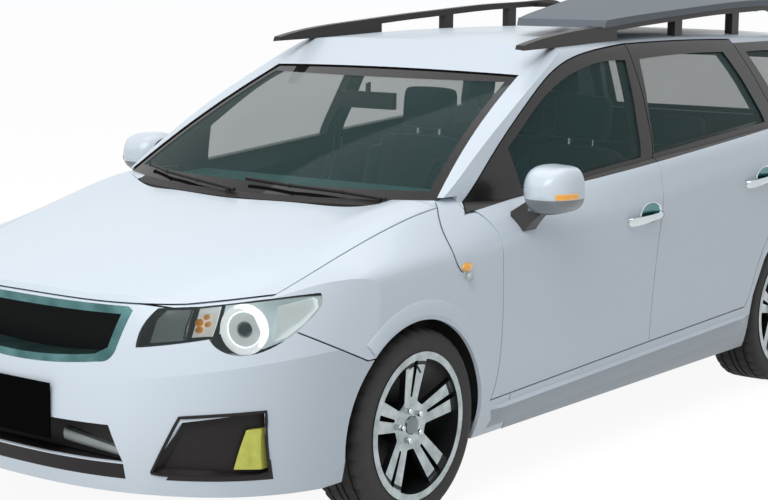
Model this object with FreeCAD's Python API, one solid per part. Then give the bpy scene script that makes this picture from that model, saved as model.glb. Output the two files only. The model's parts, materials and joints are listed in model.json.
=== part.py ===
import FreeCAD, Part
import math
import os

from FreeCAD import Vector

# Driving dimensions of the station wagon, in millimetres; the front looks along -Y, +X is its left side
LENGTH = 4460.0
WIDTH = 1696.0
ROOF_HEIGHT = 1480.0
WHEELBASE = 2620.0
FRONT_OVERHANG = 920.0

# Wheels
TYRE_RADIUS = 308.0
TYRE_WIDTH = 205.0
TYRE_SHOULDER = 18.0
TYRE_BEAD = 14.0
RIM_RADIUS = 222.0
RIM_WALL = 9.0
RIM_LIP = 12.0
WHEEL_FACE_TO_FACE = 1660.0
SPOKE_COUNT = 5
SPOKE_ROOT_WIDTH = 66.0
SPOKE_TIP_WIDTH = 96.0
SPOKE_SLOT_WIDTH = 20.0
SPOKE_THICKNESS = 22.0
SPOKE_DISH = 24.0
HUB_RADIUS = 66.0
HUB_BORE = 24.0
HUB_LENGTH = 70.0
DISC_RADIUS = 140.0
DISC_THICKNESS = 20.0
DISC_INSET = 128.0

# Body panels
GAP = 5.0
SKIN = 14.0
STEP = 8.0
FLANGE = 30.0
WALL = 72.0
FRAME_WALL = 40.0
TAIL_WALL = 50.0
BONNET_WALL = 20.0
GLASS = 4.0
GLASS_INSET = 5.0
FIT = 0.3
LAMP_GAP = 0.8
BOTTOM = 140.0
SILL_INNER_X = 700.0
CAVITY_FLOOR = 300.0
HINGE_PAD_HEIGHT = 80.0

# Body section: how far the side tucks in at heights from the sill to the shoulder
SILL_TUCK = 85.0
SIDE_TUCKS = [(40.0, 0.1385), (12.0, 0.2027), (3.0, 0.2838), (0.0, 0.4054)]
CREASE_TUCKS = [(2.0, -70.0), (6.0, -20.0), (16.0, 12.0)]
SHOULDER_CROWN = 5.0
MOULDING_SEAT = 6.0
FOOT_TUCK = 30.0
GLASS_BOW = 12.0
SCREEN_BULGE = 16.0
CAVITY_SHOULDER = 14.0

# Wheel arches
FRONT_ARCH_RADIUS = 350.0
FRONT_ARCH_SHIFT = 20.0
REAR_ARCH_RADIUS = 352.0
ARCH_CENTRE_HEIGHT = 300.0
FRONT_LINER_RADIUS = 376.0
LINER_WALL = 4.0
FRONT_LINER_INNER_X = 450.0
REAR_LINER_INNER_X = 596.0
LINER_BOTTOM = 250.0

# Steering and suspension
KINGPIN_FOOT_X = 660.0
KINGPIN_FOOT_Z = 180.0
KINGPIN_TOP_X = 530.0
KINGPIN_TOP_Z = 800.0
STRUT_RADIUS = 24.0
SPRING_RADIUS = 62.0
SPRING_TURNS = 5
TOWER_WALL = 12.0
UPRIGHT_WALL = 45.0
UPRIGHT_WIDTH = 100.0
BALL_RADIUS = 16.0
ARM_WALL = 20.0
ARM_SPREAD = 80.0
SUBFRAME_HEIGHT = 60.0
RACK_HEIGHT = 225.0
RAIL_INNER_X = 385.0
RAIL_OUTER_X = 445.0
RAIL_HEIGHT = 100.0
RAIL_BOTTOM = 400.0
CALIPER_GAP = 6.0
CALIPER_WALL = 18.0
CALIPER_DEPTH = 60.0
CALIPER_HEIGHT = 150.0
BEAM_RADIUS = 30.0
AXLE_BEAM_OFFSET = 200.0
AXLE_ARM_LENGTH = 180.0
DAMPER_RADIUS = 22.0
DAMPER_LEAN = 80.0
DRIVE_SHAFT_END_X = 570.0

# Floor and inside
FLOOR_WALL = 12.0
COWL_WALL = 20.0
TUNNEL_HALF_WIDTH = 130.0
SEAT_WIDTH = 480.0
SEAT_OFFSET = 370.0
HEADREST_WIDTH = 260.0
REAR_SEAT_HALF_WIDTH = 590.0
DASHBOARD_HALF_WIDTH = 640.0
DASHBOARD_FRONT_HALF_WIDTH = 540.0
STEERING_WHEEL_RADIUS = 185.0
STEERING_WHEEL_TUBE = 15.0
STEERING_SPOKE_RADIUS = 11.0
MIRROR_PLATE_HALF_WIDTH = 120.0
EXHAUST_RADIUS = 25.0
EXHAUST_OFFSET = 250.0
TANK_HALF_WIDTH = 450.0
ENGINE_HALF_WIDTH = 330.0
RADIATOR_HALF_WIDTH = 360.0

# Front pieces, door mirrors, wipers and plates
FOG_RECESS = 22.0
GRILLE_PLATE = 6.0
MIRROR_HALF_WIDTH = 90.0
MIRROR_HALF_HEIGHT = 78.0
MIRROR_DEPTH = 150.0
MIRROR_FOOT_LENGTH = 105.0
WIPER_RADIUS = 6.0
WIPER_JOINT_RADIUS = 8.0
WIPER_PIVOT_RADIUS = 11.0
WIPER_LIFT = 11.0
PLATE_WIDTH = 330.0
PLATE_HEIGHT = 165.0
PLATE_WALL = 6.0

# Roof rails and the flat roof panel on them
RAIL_WIDTH = 34.0
RAIL_X = 560.0
ROOF_PANEL_HALF_WIDTH = 600.0

HALF_WIDTH = WIDTH / 2
NOSE = PLATE_WALL / 2 - LENGTH / 2
TAIL = NOSE + LENGTH
FRONT_AXLE_Y = NOSE + FRONT_OVERHANG
REAR_AXLE_Y = FRONT_AXLE_Y + WHEELBASE
WHEEL_OUTER_X = WHEEL_FACE_TO_FACE / 2
WHEEL_INNER_X = WHEEL_OUTER_X - TYRE_WIDTH
FAR = LENGTH

# Shares of a section's own size, from its corner to the centre line
TOP_CROWN_SHARES = [(0.72, 0.45), (0.40, 0.86)]
SIDE_GLASS_SHARES = [0.06, 0.30, 0.60, 0.84, 0.95]
ROOF_CROWN_SHARES = [(0.972, 0.33), (0.91, 0.58), (0.78, 0.78), (0.50, 0.94)]
SCREEN_ROW_SHARES = [-0.45, -0.2, 0.0, 0.33, 0.67, 1.0, 1.3, 1.6, 1.9]
CAVITY_TOP_SHARES = [(0.86, 0.62), (0.5, 0.55), (0.0, 0.5)]

# Where the big pieces start and end, as shares of the length, the half width and the height
FRONT_END_SHARE = 0.3184
FIREWALL_SHARE = 0.2287
ROOF_FOOT_SHARE = 0.8784
COWL_END_SHARE = 0.2825
COWL_BOTTOM_SHARE = 0.5919
ROOF_REAR_SHARE = 0.9126
ROOF_SIDE_SHARE = 0.6427
SIDE_START_SHARE = 0.2422
SILL_BOTTOM_SHARE = 0.1351
BUMPER_BOTTOM_SHARE = 0.1385
BUMPER_BACK_SHARE = 0.1614
REAR_BUMPER_START_SHARE = 0.8565
REAR_BUMPER_TOP_SHARE = 0.4696
REAR_BUMPER_BOTTOM_SHARE = 0.1554
GRILLE_BACK_SHARE = 0.0291
LOWER_GRILLE_BACK_SHARE = 0.0224
FOG_BACK_SHARE = 0.0942
TAILGATE_CORE_SHARE = 0.6250
LAMP_BACK_SHARES = [(0.4717, 0.0583), (1.0142, 0.1525)]

# Mirrors, wipers and plates
MIRROR_PLACE_SHARES = (1.0908, 0.3531, 0.6791)
MIRROR_FOOT_SHARE = 0.9080
MIRROR_PROFILE_SHARES = [(-1.0, -0.55), (-0.7, -1.0), (0.3, -1.0), (0.85, -0.7), (1.0, 0.1), (0.75, 0.85),
                         (0.1, 1.0), (-0.75, 0.9)]
MIRROR_DEPTH_SHARES = [(0.0, 1.0), (0.35, 1.0), (0.65, 0.88), (0.85, 0.66), (0.96, 0.4), (1.0, 0.2)]
WIPER_PIVOT_SHARE = 0.15
WIPER_COLUMN_SHARES = [((8, 0.03), (7, 0.06), (6, 0.08), (5, 0.10)),
                       ((5, 0.03), (4, 0.06), (3, 0.08), (2, 0.10))]
PLATE_HEIGHT_SHARES = (0.2351, 0.5000)
CABIN_MIRROR_SHARES = [(0.3834, 0.8209), (0.3834, 0.8615), (0.3890, 0.8615), (0.3890, 0.8209)]
CABIN_MIRROR_STEM_SHARES = [(0.3845, 0.8480), (0.3845, 0.9189), (0.3879, 0.9189), (0.3879, 0.8480)]

# Side profiles of what is inside and under the car: length share and height share
FLOOR_SHARES = [(0.2253, 0.5811), (0.2253, 0.2838), (0.2870, 0.1385), (0.5874, 0.1385), (0.6054, 0.2432),
                (0.7220, 0.2432), (0.7444, 0.3514), (0.9686, 0.3514), (0.9686, 0.2331)]
LOAD_FLOOR_SHARE = 0.3514
SEAT_FLOOR_SHARE = 0.2432
TUNNEL_SHARES = (0.2332, 0.6099)
RAIL_START_SHARE = 0.0404
REAR_RAIL_SHARES = (0.7556, 0.9641)
RADIATOR_SHARES = (0.1622, 0.4730)
ENGINE_SHARES = ((0.0942, 0.1824), (0.2152, 0.5270))
TANK_SHARES = ((0.6143, 0.1351), (0.6906, 0.2351))
EXHAUST_SHARES = [(0, 0.2444, 0.1622), (0, 0.7892, 0.1622), (-1, 0.8453, 0.2027), (-1, 0.9731, 0.2027)]
SILENCER_SHARES = (0.8677, 0.9350)
DASHBOARD_SHARES = [(0.3027, 0.4054), (0.3027, 0.6284), (0.3184, 0.6500), (0.3453, 0.6520),
                    (0.3655, 0.6284), (0.3722, 0.5676), (0.3632, 0.4730), (0.3453, 0.4189)]
DASHBOARD_FRONT_SHARES = [(0.3072, 0.6318), (0.3072, 0.4459)]
DASHBOARD_FOOT_SHARES = (0.5000, 0.6149)
CONSOLE_SHARES = [(0.3184, 0.4054), (0.3543, 0.4459), (0.4305, 0.3378), (0.5314, 0.3378)]
COLUMN_SHARES = ((0.3543, 0.5270), (0.4081, 0.5912))
SEAT_SHARES = [(0.4350, 0.2703), (0.4305, 0.3514), (0.4574, 0.3649), (0.5291, 0.3378), (0.5695, 0.7162),
               (0.5874, 0.7297), (0.6009, 0.7027), (0.5650, 0.3243), (0.5561, 0.2703)]
HEADREST_SHARES = [(0.5796, 0.7095), (0.5785, 0.8378), (0.5964, 0.8446), (0.5987, 0.7095)]
SEAT_FRAME_SHARES = (0.4484, 0.5471)
REAR_SEAT_SHARES = [(0.6054, 0.3378), (0.6435, 0.3581), (0.6996, 0.3378), (0.7309, 0.6757),
                    (0.7534, 0.6892), (0.7265, 0.3514)]
REAR_SEAT_FOOT_SHARES = (0.7175, 0.6099)
ROOF_RAIL_OUTLINE_SHARES = [
    [(0.4193, 0.9838), (0.4484, 0.9986), (0.4865, 1.0108), (0.5415, 1.0230), (0.5971, 1.0351),
     (0.6621, 1.0466), (0.7489, 1.0608), (0.8341, 1.0689), (0.8789, 1.0608), (0.9013, 1.0135),
     (0.9058, 0.9730)],
    [(0.9058, 0.9730), (0.8969, 0.9730)],
    [(0.8969, 0.9730), (0.8924, 1.0068), (0.8722, 1.0439), (0.8341, 1.0514), (0.7489, 1.0432),
     (0.6621, 1.0291), (0.5971, 1.0176), (0.5583, 1.0095)],
    [(0.5583, 1.0095), (0.5561, 0.9811)],
    [(0.5561, 0.9811), (0.5202, 0.9730), (0.4865, 0.9635), (0.4529, 0.9527), (0.4305, 0.9486)],
    [(0.4305, 0.9486), (0.4148, 0.9527)],
    [(0.4148, 0.9527), (0.4193, 0.9838)],
]
ROOF_RAIL_FEET_SHARES = [(0.5516, 0.5639, 1.0169), (0.6659, 0.6794, 1.0372), (0.7780, 0.7915, 1.0541)]
ROOF_RAIL_FOOT_SHARE = 0.9662
ROOF_PANEL_OUTLINE_SHARES = [
    [(0.5336, 1.0189), (0.5971, 1.0331), (0.6621, 1.0446), (0.7489, 1.0588), (0.8475, 1.0662)],
    [(0.8475, 1.0662), (0.8509, 1.0831)],
    [(0.8509, 1.0831), (0.7489, 1.0757), (0.6621, 1.0615), (0.5971, 1.0507), (0.5377, 1.0378)],
    [(0.5377, 1.0378), (0.5336, 1.0189)],
]
ROOF_PANEL_SLANT_SHARES = [(0.2594, 0.5291), (-0.4068, 0.8565)]
CROSS_BAR_SHARES = (0.8296, 0.8386, 1.0493, 1.0635)
HINGE_PAD_SHARES = (0.3378, 0.4932)
TAIL_LAMP_START_SHARE = 0.9170
BONNET_PAD_SHARES = (0.6182, 0.6419)
TAILGATE_PAD_SHARES = (0.9628, 0.9764)
COWL_WALL_SHARES = (0.5405, 0.6250)
PAD_PLACE_SHARES = (0.5189, 0.6132)
PAD_SIDE_SHARES = (0.9198, 0.9670)
STRUT_SHARES = (0.25, 0.74, 0.97)

# Lower body stations: length share, then half width, crease height, edge half width, edge height and
# centre height, where the edge is the bonnet's side or the window line.
LOWER_SHARES = [
    (-0.0404, 0.9811, 0.4966, 0.7783, 0.4730, 0.4730),
    (0.0157, 0.9882, 0.5101, 0.8019, 0.4899, 0.5203),
    (0.0807, 0.9941, 0.5257, 0.8255, 0.5253, 0.5757),
    (0.1435, 0.9976, 0.5358, 0.8255, 0.5743, 0.6122),
    (0.2063, 1.0000, 0.5520, 0.8255, 0.6236, 0.6412),
    (0.2623, 1.0000, 0.5581, 0.8396, 0.6500, 0.6655),
    (0.3296, 1.0000, 0.5696, 0.8726, 0.6426, 0.6588),
    (0.4305, 1.0000, 0.5912, 0.9080, 0.6608, 0.6723),
    (0.5426, 1.0000, 0.6176, 0.9292, 0.6872, 0.6959),
    (0.6547, 1.0000, 0.6453, 0.9316, 0.7074, 0.7162),
    (0.7668, 0.9988, 0.6689, 0.9222, 0.7284, 0.7365),
    (0.8789, 0.9929, 0.6865, 0.9033, 0.7419, 0.7500),
    (0.9686, 0.9835, 0.6959, 0.8844, 0.7486, 0.7568),
    (1.0471, 0.9717, 0.7027, 0.8667, 0.7520, 0.7635),
]

# Upper body stations: length share, side half width at the window line, window line height, height of
# the rail over the doors, half width there, and roof height at the centre.
UPPER_SHARES = [
    (0.1390, 0.8137, 0.6216, 0.9662, 0.6604, 0.9730),
    (0.2623, 0.8396, 0.6500, 0.9628, 0.6781, 0.9730),
    (0.3632, 0.8844, 0.6473, 0.9628, 0.6981, 0.9770),
    (0.4641, 0.9104, 0.6676, 0.9662, 0.7146, 0.9838),
    (0.5650, 0.9245, 0.6912, 0.9730, 0.7241, 0.9959),
    (0.6771, 0.9269, 0.7122, 0.9764, 0.7264, 1.0000),
    (0.7892, 0.9175, 0.7318, 0.9730, 0.7217, 0.9986),
    (0.9013, 0.8986, 0.7439, 0.9649, 0.7075, 0.9878),
    (1.0135, 0.8750, 0.7500, 0.9493, 0.6863, 0.9696),
    (1.0807, 0.8608, 0.7514, 0.9358, 0.6722, 0.9561),
]

# Nose in plan: half width share and length share, and how far each height leans back.
NOSE_PLAN_SHARES = [
    (0.0000, 0.0000), (0.2358, 0.0022), (0.4717, 0.0121), (0.6486, 0.0276), (0.7665, 0.0435),
    (0.8491, 0.0610), (0.9198, 0.0841), (0.9670, 0.1121), (0.9988, 0.1457), (1.0259, 0.1816),
    (1.0554, 0.2197),
]
NOSE_LEAN_SHARES = [
    (0.0338, 0.0135), (0.1351, 0.0067), (0.2027, 0.0018), (0.3041, 0.0000), (0.4054, 0.0045),
    (0.4730, 0.0112), (0.5135, 0.0179),
    (0.5541, 0.0280), (0.6081, 0.0493), (0.7432, 0.1345),
]
TAIL_PLAN_SHARES = [
    (0.0000, 1.0000), (0.3538, 0.9982), (0.6486, 0.9922), (0.8019, 0.9832), (0.8962, 0.9697),
    (0.9552, 0.9529),
    (0.9965, 0.9305), (1.0283, 0.9013), (1.0613, 0.8610),
]
TAIL_LEAN_SHARES = [
    (0.0338, 0.0224), (0.1351, 0.0101), (0.2365, 0.0027), (0.3243, 0.0000), (0.4054, 0.0000),
    (0.4595, 0.0018), (0.4865, 0.0067),
    (0.5135, 0.0094), (0.6081, 0.0123), (0.7095, 0.0191), (0.8108, 0.0336), (0.9122, 0.0504),
    (0.9797, 0.0639), (1.0811, 0.0852),
]
# Windscreen: half width share, then length share of its foot and of its top
SCREEN_SHARES = [
    (0.0000, 0.2164, 0.4092), (0.2358, 0.2197, 0.4108), (0.4717, 0.2300, 0.4161), (0.6486, 0.2430, 0.4224),
    (0.8255, 0.2601, 0.4305),
    (0.9670, 0.2769, 0.4383),
]
SCREEN_FOOT_SHARE = 0.6486
SCREEN_TOP_SHARE = 0.9176

# Outlines on the side of the car: length share and height share
FRONT_DOOR_OUTLINE_SHARES = [
    [(0.2836, 0.6311), (0.2960, 0.6351)],
    [(0.2960, 0.6351), (0.3031, 0.6115), (0.3052, 0.5743)],
    [(0.3052, 0.5743), (0.3040, 0.4730), (0.3031, 0.3507), (0.2991, 0.2723), (0.2919, 0.2189)],
    [(0.2919, 0.2189), (0.5269, 0.2405)],
    [(0.5269, 0.2405), (0.5336, 0.4453), (0.5442, 0.5926), (0.5578, 0.7628), (0.5650, 0.9770)],
    [(0.5650, 0.9770), (0.5025, 0.9622), (0.4545, 0.9345), (0.4020, 0.8649), (0.3572, 0.7878),
     (0.2836, 0.6311)],
]
FRONT_DOOR_CORE_OUTLINE_SHARES = [
    [(0.3184, 0.6689), (0.3052, 0.5743)],
    [(0.3052, 0.5743), (0.3040, 0.4730), (0.3031, 0.3507), (0.2991, 0.2723), (0.2919, 0.2189)],
    [(0.2919, 0.2189), (0.5269, 0.2405)],
    [(0.5269, 0.2405), (0.5336, 0.4453), (0.5442, 0.5926), (0.5578, 0.7628), (0.5650, 0.9770)],
    [(0.5650, 0.9770), (0.5025, 0.9622), (0.4545, 0.9345), (0.4020, 0.8649), (0.3572, 0.7878),
     (0.3184, 0.7061)],
    [(0.3184, 0.7061), (0.3184, 0.6689)],
]
REAR_DOOR_OUTLINE_SHARES = [
    [(0.5650, 0.9770), (0.5578, 0.7628), (0.5442, 0.5926), (0.5336, 0.4453), (0.5269, 0.2405)],
    [(0.5269, 0.2405), (0.7029, 0.2541)],
    [(0.7029, 0.2541), (0.7135, 0.2905), (0.7220, 0.3412), (0.7365, 0.4054), (0.7780, 0.5405),
     (0.7948, 0.7331)],
    [(0.7948, 0.7331), (0.7803, 0.8378), (0.7578, 0.9750)],
    [(0.7578, 0.9750), (0.6758, 0.9791), (0.5650, 0.9770)],
]
FRONT_WINDOW_OUTLINE_SHARES = [
    [(0.3632, 0.6662), (0.3570, 0.7581)],
    [(0.3570, 0.7581), (0.3857, 0.8095), (0.4146, 0.8568), (0.4733, 0.9169), (0.5543, 0.9378)],
    [(0.5543, 0.9378), (0.5442, 0.8149), (0.5341, 0.7007)],
    [(0.5341, 0.7007), (0.4670, 0.6865), (0.3632, 0.6662)],
]
REAR_WINDOW_OUTLINE_SHARES = [
    [(0.5549, 0.7054), (0.5650, 0.8108), (0.5774, 0.9378)],
    [(0.5774, 0.9378), (0.6547, 0.9446), (0.7321, 0.9432)],
    [(0.7321, 0.9432), (0.7511, 0.8527), (0.7668, 0.7473)],
    [(0.7668, 0.7473), (0.6547, 0.7264), (0.5549, 0.7054)],
]
QUARTER_WINDOW_OUTLINE_SHARES = [
    [(0.7791, 0.9392), (0.7960, 0.8514), (0.8117, 0.7601)],
    [(0.8117, 0.7601), (0.9327, 0.7689)],
    [(0.9327, 0.7689), (0.9238, 0.8514), (0.8969, 0.9270)],
    [(0.8969, 0.9270), (0.8453, 0.9378), (0.7791, 0.9392)],
]
FENDER_OUTLINE_SHARES = [
    [(0.1435, 0.3818), (0.1188, 0.4162), (0.0980, 0.4459), (0.0717, 0.4865)],
    [(0.0717, 0.4865), (-0.0179, 0.5405)],
    [(-0.0179, 0.5405), (-0.0179, 0.6662)],
    [(-0.0179, 0.6662), (0.2870, 0.6662)],
    [(0.2870, 0.6662), (0.2870, 0.6324)],
    [(0.2870, 0.6324), (0.3184, 0.6324)],
    [(0.3184, 0.6324), (0.3184, 0.1351)],
    [(0.3184, 0.1351), (0.2018, 0.1351)],
    [(0.2018, 0.1351), (0.2018, 0.3818)],
    [(0.2018, 0.3818), (0.1435, 0.3818)],
]
# Outlines on the front and the back: half width share and height share
GRILLE_OUTLINE_SHARES = [
    [(-0.4387, 0.5054), (0.4387, 0.5054)],
    [(0.4387, 0.5054), (0.4587, 0.4986)],
    [(0.4587, 0.4986), (0.4316, 0.4243)],
    [(0.4316, 0.4243), (0.4116, 0.4054), (0.3679, 0.3980)],
    [(0.3679, 0.3980), (0.1592, 0.3858), (-0.1592, 0.3858), (-0.3679, 0.3980)],
    [(-0.3679, 0.3980), (-0.4116, 0.4054), (-0.4316, 0.4243)],
    [(-0.4316, 0.4243), (-0.4587, 0.4986)],
    [(-0.4587, 0.4986), (-0.4387, 0.5054)],
]
HEADLAMP_OUTLINE_SHARES = [
    [(0.4988, 0.4304), (0.5153, 0.4831), (0.5413, 0.5054)],
    [(0.5413, 0.5054), (0.6368, 0.5101), (0.7311, 0.5149), (0.8255, 0.5236), (0.9269, 0.5304)],
    [(0.9269, 0.5304), (0.9351, 0.5068), (0.9175, 0.4709), (0.8785, 0.4372), (0.8255, 0.4203),
     (0.7512, 0.4311), (0.7193, 0.4514)],
    [(0.7193, 0.4514), (0.6722, 0.4459), (0.4988, 0.4304)],
]
INTAKE_OUTLINE_SHARES = [
    [(-0.4245, 0.2770), (0.4245, 0.2770)],
    [(0.4245, 0.2770), (0.4693, 0.2027)],
    [(0.4693, 0.2027), (-0.4693, 0.2027)],
    [(-0.4693, 0.2027), (-0.4245, 0.2770)],
]
LIP_OUTLINE_SHARES = [
    [(-0.4693, 0.2000), (0.4693, 0.2000)],
    [(0.4693, 0.2000), (0.4693, 0.1689)],
    [(0.4693, 0.1689), (-0.4693, 0.1689)],
    [(-0.4693, 0.1689), (-0.4693, 0.2000)],
]
FOG_OUTLINE_SHARES = [
    [(0.5578, 0.1838), (0.6651, 0.2912)],
    [(0.6651, 0.2912), (0.8667, 0.3101)],
    [(0.8667, 0.3101), (0.8738, 0.1885)],
    [(0.8738, 0.1885), (0.8667, 0.1797)],
    [(0.8667, 0.1797), (0.5578, 0.1838)],
]
FOG_LAMP_OUTLINE_SHARES = [
    [(0.7913, 0.1959), (0.8255, 0.2743)],
    [(0.8255, 0.2743), (0.8561, 0.2757)],
    [(0.8561, 0.2757), (0.8514, 0.1932)],
    [(0.8514, 0.1932), (0.7913, 0.1959)],
]
BONNET_EDGE_SHARES = [(-1.0142, 0.5351), (-0.8255, 0.5284), (-0.7311, 0.5203), (-0.5425, 0.5122),
                      (0.0000, 0.5115), (0.5425, 0.5122), (0.7311, 0.5203), (0.8255, 0.5284),
                      (1.0142, 0.5351)]
WINDSCREEN_OUTLINE_SHARES = [
    [(-0.8137, 0.6622), (0.0000, 0.6581), (0.8137, 0.6622)],
    [(0.8137, 0.6622), (0.6545, 0.9135)],
    [(0.6545, 0.9135), (0.0000, 0.9203), (-0.6545, 0.9135)],
    [(-0.6545, 0.9135), (-0.8137, 0.6622)],
]
TAILGATE_OUTLINE_SHARES = [
    [(-0.6486, 0.4730), (0.6486, 0.4730)],
    [(0.6486, 0.4730), (0.6899, 0.5270), (0.7075, 0.6216), (0.7075, 0.7297), (0.6934, 0.8243),
     (0.6686, 0.9189), (0.6427, 0.9932)],
    [(0.6427, 0.9932), (0.6427, 1.1486)],
    [(0.6427, 1.1486), (-0.6427, 1.1486)],
    [(-0.6427, 1.1486), (-0.6427, 0.9932)],
    [(-0.6427, 0.9932), (-0.6686, 0.9189), (-0.6934, 0.8243), (-0.7075, 0.7297), (-0.7075, 0.6216),
     (-0.6899, 0.5270), (-0.6486, 0.4730)],
]
TAILGATE_WINDOW_OUTLINE_SHARES = [
    [(-0.5896, 0.7162), (0.5896, 0.7162)],
    [(0.5896, 0.7162), (0.5837, 0.8108), (0.5601, 0.9088)],
    [(0.5601, 0.9088), (0.0000, 0.9291), (-0.5601, 0.9088)],
    [(-0.5601, 0.9088), (-0.5837, 0.8108), (-0.5896, 0.7162)],
]
TAIL_LAMP_OUTLINE_SHARES = [
    [(0.7370, 0.5405), (0.7606, 0.6216), (0.7606, 0.7297)],
    [(0.7606, 0.7297), (1.0613, 0.7432)],
    [(1.0613, 0.7432), (1.0613, 0.5405)],
    [(1.0613, 0.5405), (0.7370, 0.5405)],
]
GRILLE_OPENING_SHARES = [
    [(-0.4222, 0.4905), (0.4222, 0.4905)],
    [(0.4222, 0.4905), (0.4009, 0.4270)],
    [(0.4009, 0.4270), (0.3561, 0.4128)],
    [(0.3561, 0.4128), (0.1533, 0.4007), (-0.1533, 0.4007), (-0.3561, 0.4128)],
    [(-0.3561, 0.4128), (-0.4009, 0.4270)],
    [(-0.4009, 0.4270), (-0.4222, 0.4905)],
]
MIRROR_FOOT_OUTLINE_SHARES = [
    [(0.9316, 0.5845), (0.9847, 0.5824)],
    [(0.9847, 0.5824), (1.0142, 0.6034), (1.0672, 0.6318)],
    [(1.0672, 0.6318), (1.0672, 0.6520)],
    [(1.0672, 0.6520), (0.9965, 0.6520)],
    [(0.9965, 0.6520), (0.9316, 0.6250)],
    [(0.9316, 0.6250), (0.9316, 0.5845)],
]
COWL_OUTLINE_SHARES = [
    [(-0.6427, 0.5405), (0.6427, 0.5405)],
    [(0.6427, 0.5405), (0.6427, 0.7432)],
    [(0.6427, 0.7432), (-0.6427, 0.7432)],
    [(-0.6427, 0.7432), (-0.6427, 0.5405)],
]
BONNET_SIDE_SHARES = [(0.8255, -0.0179), (0.8255, 0.0807), (0.8255, 0.1614), (0.8325, 0.2175),
                      (0.8408, 0.2612)]
BONNET_REAR_SHARES = [(0.8408, 0.2612), (0.6486, 0.2428), (0.3538, 0.2238), (0.0000, 0.2157),
                      (-0.3538, 0.2238), (-0.6486, 0.2428), (-0.8408, 0.2612)]
SCREEN_COLUMNS = [(-x, foot, top) for x, foot, top in reversed(SCREEN_SHARES[1:])] + SCREEN_SHARES


def along(share):
    """Y of a share of the length, counted from the nose."""
    return NOSE + share * LENGTH


def across(share):
    return share * HALF_WIDTH


def up(share):
    return share * ROOF_HEIGHT


def curve_edge(points):
    """A straight edge through two points, or a smooth one through more."""
    if len(points) == 2:
        return Part.makeLine(points[0], points[1])
    curve = Part.BSplineCurve()
    curve.interpolate(points)
    return curve.toShape()


def on_side(share_y, share_z):
    return Vector(0, along(share_y), up(share_z))


def on_front(share_x, share_z):
    return Vector(across(share_x), 0, up(share_z))


def on_plan(share_x, share_y):
    return Vector(across(share_x), along(share_y), 0)


def closed_runs(runs, place):
    """The outline's runs as points, where each run ends on the first point of the next."""
    placed = [[place(*pair) for pair in run] for run in runs]
    return [run[:-1] + [placed[(index + 1) % len(placed)][0]] for index, run in enumerate(placed)]


def moved_out(runs, by, axis):
    """The same runs moved out by a margin in their own plane; corners are mitred."""
    corners = [run[0] for run in runs]
    centre = sum(corners, Vector(0, 0, 0)) * (1.0 / len(corners))
    area = sum(
        [(run[k] - centre).cross(run[k + 1] - centre).dot(axis) for run in runs for k in range(len(run) - 1)])
    turn = 1 if area > 0 else -1
    result = []
    for index, run in enumerate(runs):
        before, after = runs[index - 1], runs[(index + 1) % len(runs)]
        moved = []
        for k, point in enumerate(run):
            back = point - (run[k - 1] if k else before[-2])
            ahead = (run[k + 1] if k < len(run) - 1 else after[1]) - point
            out_back = back.normalize().cross(axis) * turn
            out_ahead = ahead.normalize().cross(axis) * turn
            both = out_back + out_ahead
            moved.append(point + both * (2 * by / both.dot(both)))
        result.append(moved)
    return result


def outline_face(runs, place, by):
    """A flat face inside an outline of shares, moved out by a margin."""
    axis = Vector(1, 0, 0) if place is on_side else Vector(0, 1, 0) if place is on_front else Vector(0, 0, 1)
    points = closed_runs(runs, place)
    if by:
        points = moved_out(points, by, axis)
    return Part.Face(Part.Wire([curve_edge(run) for run in points]))


def side_prism(runs, by=0.0, x0=0.0, x1=WIDTH):
    """A side outline, moved out by a margin, as a solid from x0 to x1."""
    face = outline_face(runs, on_side, by)
    face.translate(Vector(x0, 0, 0))
    return upright(face.extrude(Vector(x1 - x0, 0, 0)))


def front_prism(runs, by=0.0, y0=-FAR, y1=0.0):
    face = outline_face(runs, on_front, by)
    face.translate(Vector(0, y0, 0))
    return upright(face.extrude(Vector(0, y1 - y0, 0)))


def plan_prism(runs, by=0.0, z0=0.0, z1=FAR):
    face = outline_face(runs, on_plan, by)
    face.translate(Vector(0, 0, z0))
    return upright(face.extrude(Vector(0, 0, z1 - z0)))


def moved_in(points, inset):
    """Section points moved in along the section's normal; the last lies on the centre plane."""
    result = []
    for index, (x, z) in enumerate(points):
        before = points[max(index - 1, 0)]
        after = points[min(index + 1, len(points) - 1)]
        run = Vector(after[0] - before[0], 0, after[1] - before[1]).normalize()
        normal = Vector(run.z, 0, -run.x)
        if index == 0:
            normal = Vector(1, 0, 0)
        if x == 0:
            normal = Vector(0, 0, 1)
        result.append((x - inset * normal.x, z - inset * normal.z))
    return result


def lower_section(values, inset):
    half_share, crease_share, edge_x_share, edge_z_share, centre_share = values
    half = across(half_share)
    crease = up(crease_share)
    edge_x = across(edge_x_share)
    edge_z = up(edge_z_share)
    centre = up(centre_share)
    points = [(half - SILL_TUCK, BOTTOM)]
    points += [(half - tuck, up(share)) for tuck, share in SIDE_TUCKS]
    points += [(half - tuck, crease + rise) for tuck, rise in CREASE_TUCKS]
    shoulder_x = half - CREASE_TUCKS[-1][0]
    shoulder_z = crease + CREASE_TUCKS[-1][1]
    points.append(((shoulder_x + edge_x) / 2 + SHOULDER_CROWN, (shoulder_z + edge_z) / 2 + SHOULDER_CROWN))
    points.append((edge_x, edge_z))
    points += [(edge_x * x, edge_z + (centre - edge_z) * z) for x, z in TOP_CROWN_SHARES]
    points.append((0, centre))
    return moved_in(points, inset)


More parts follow.
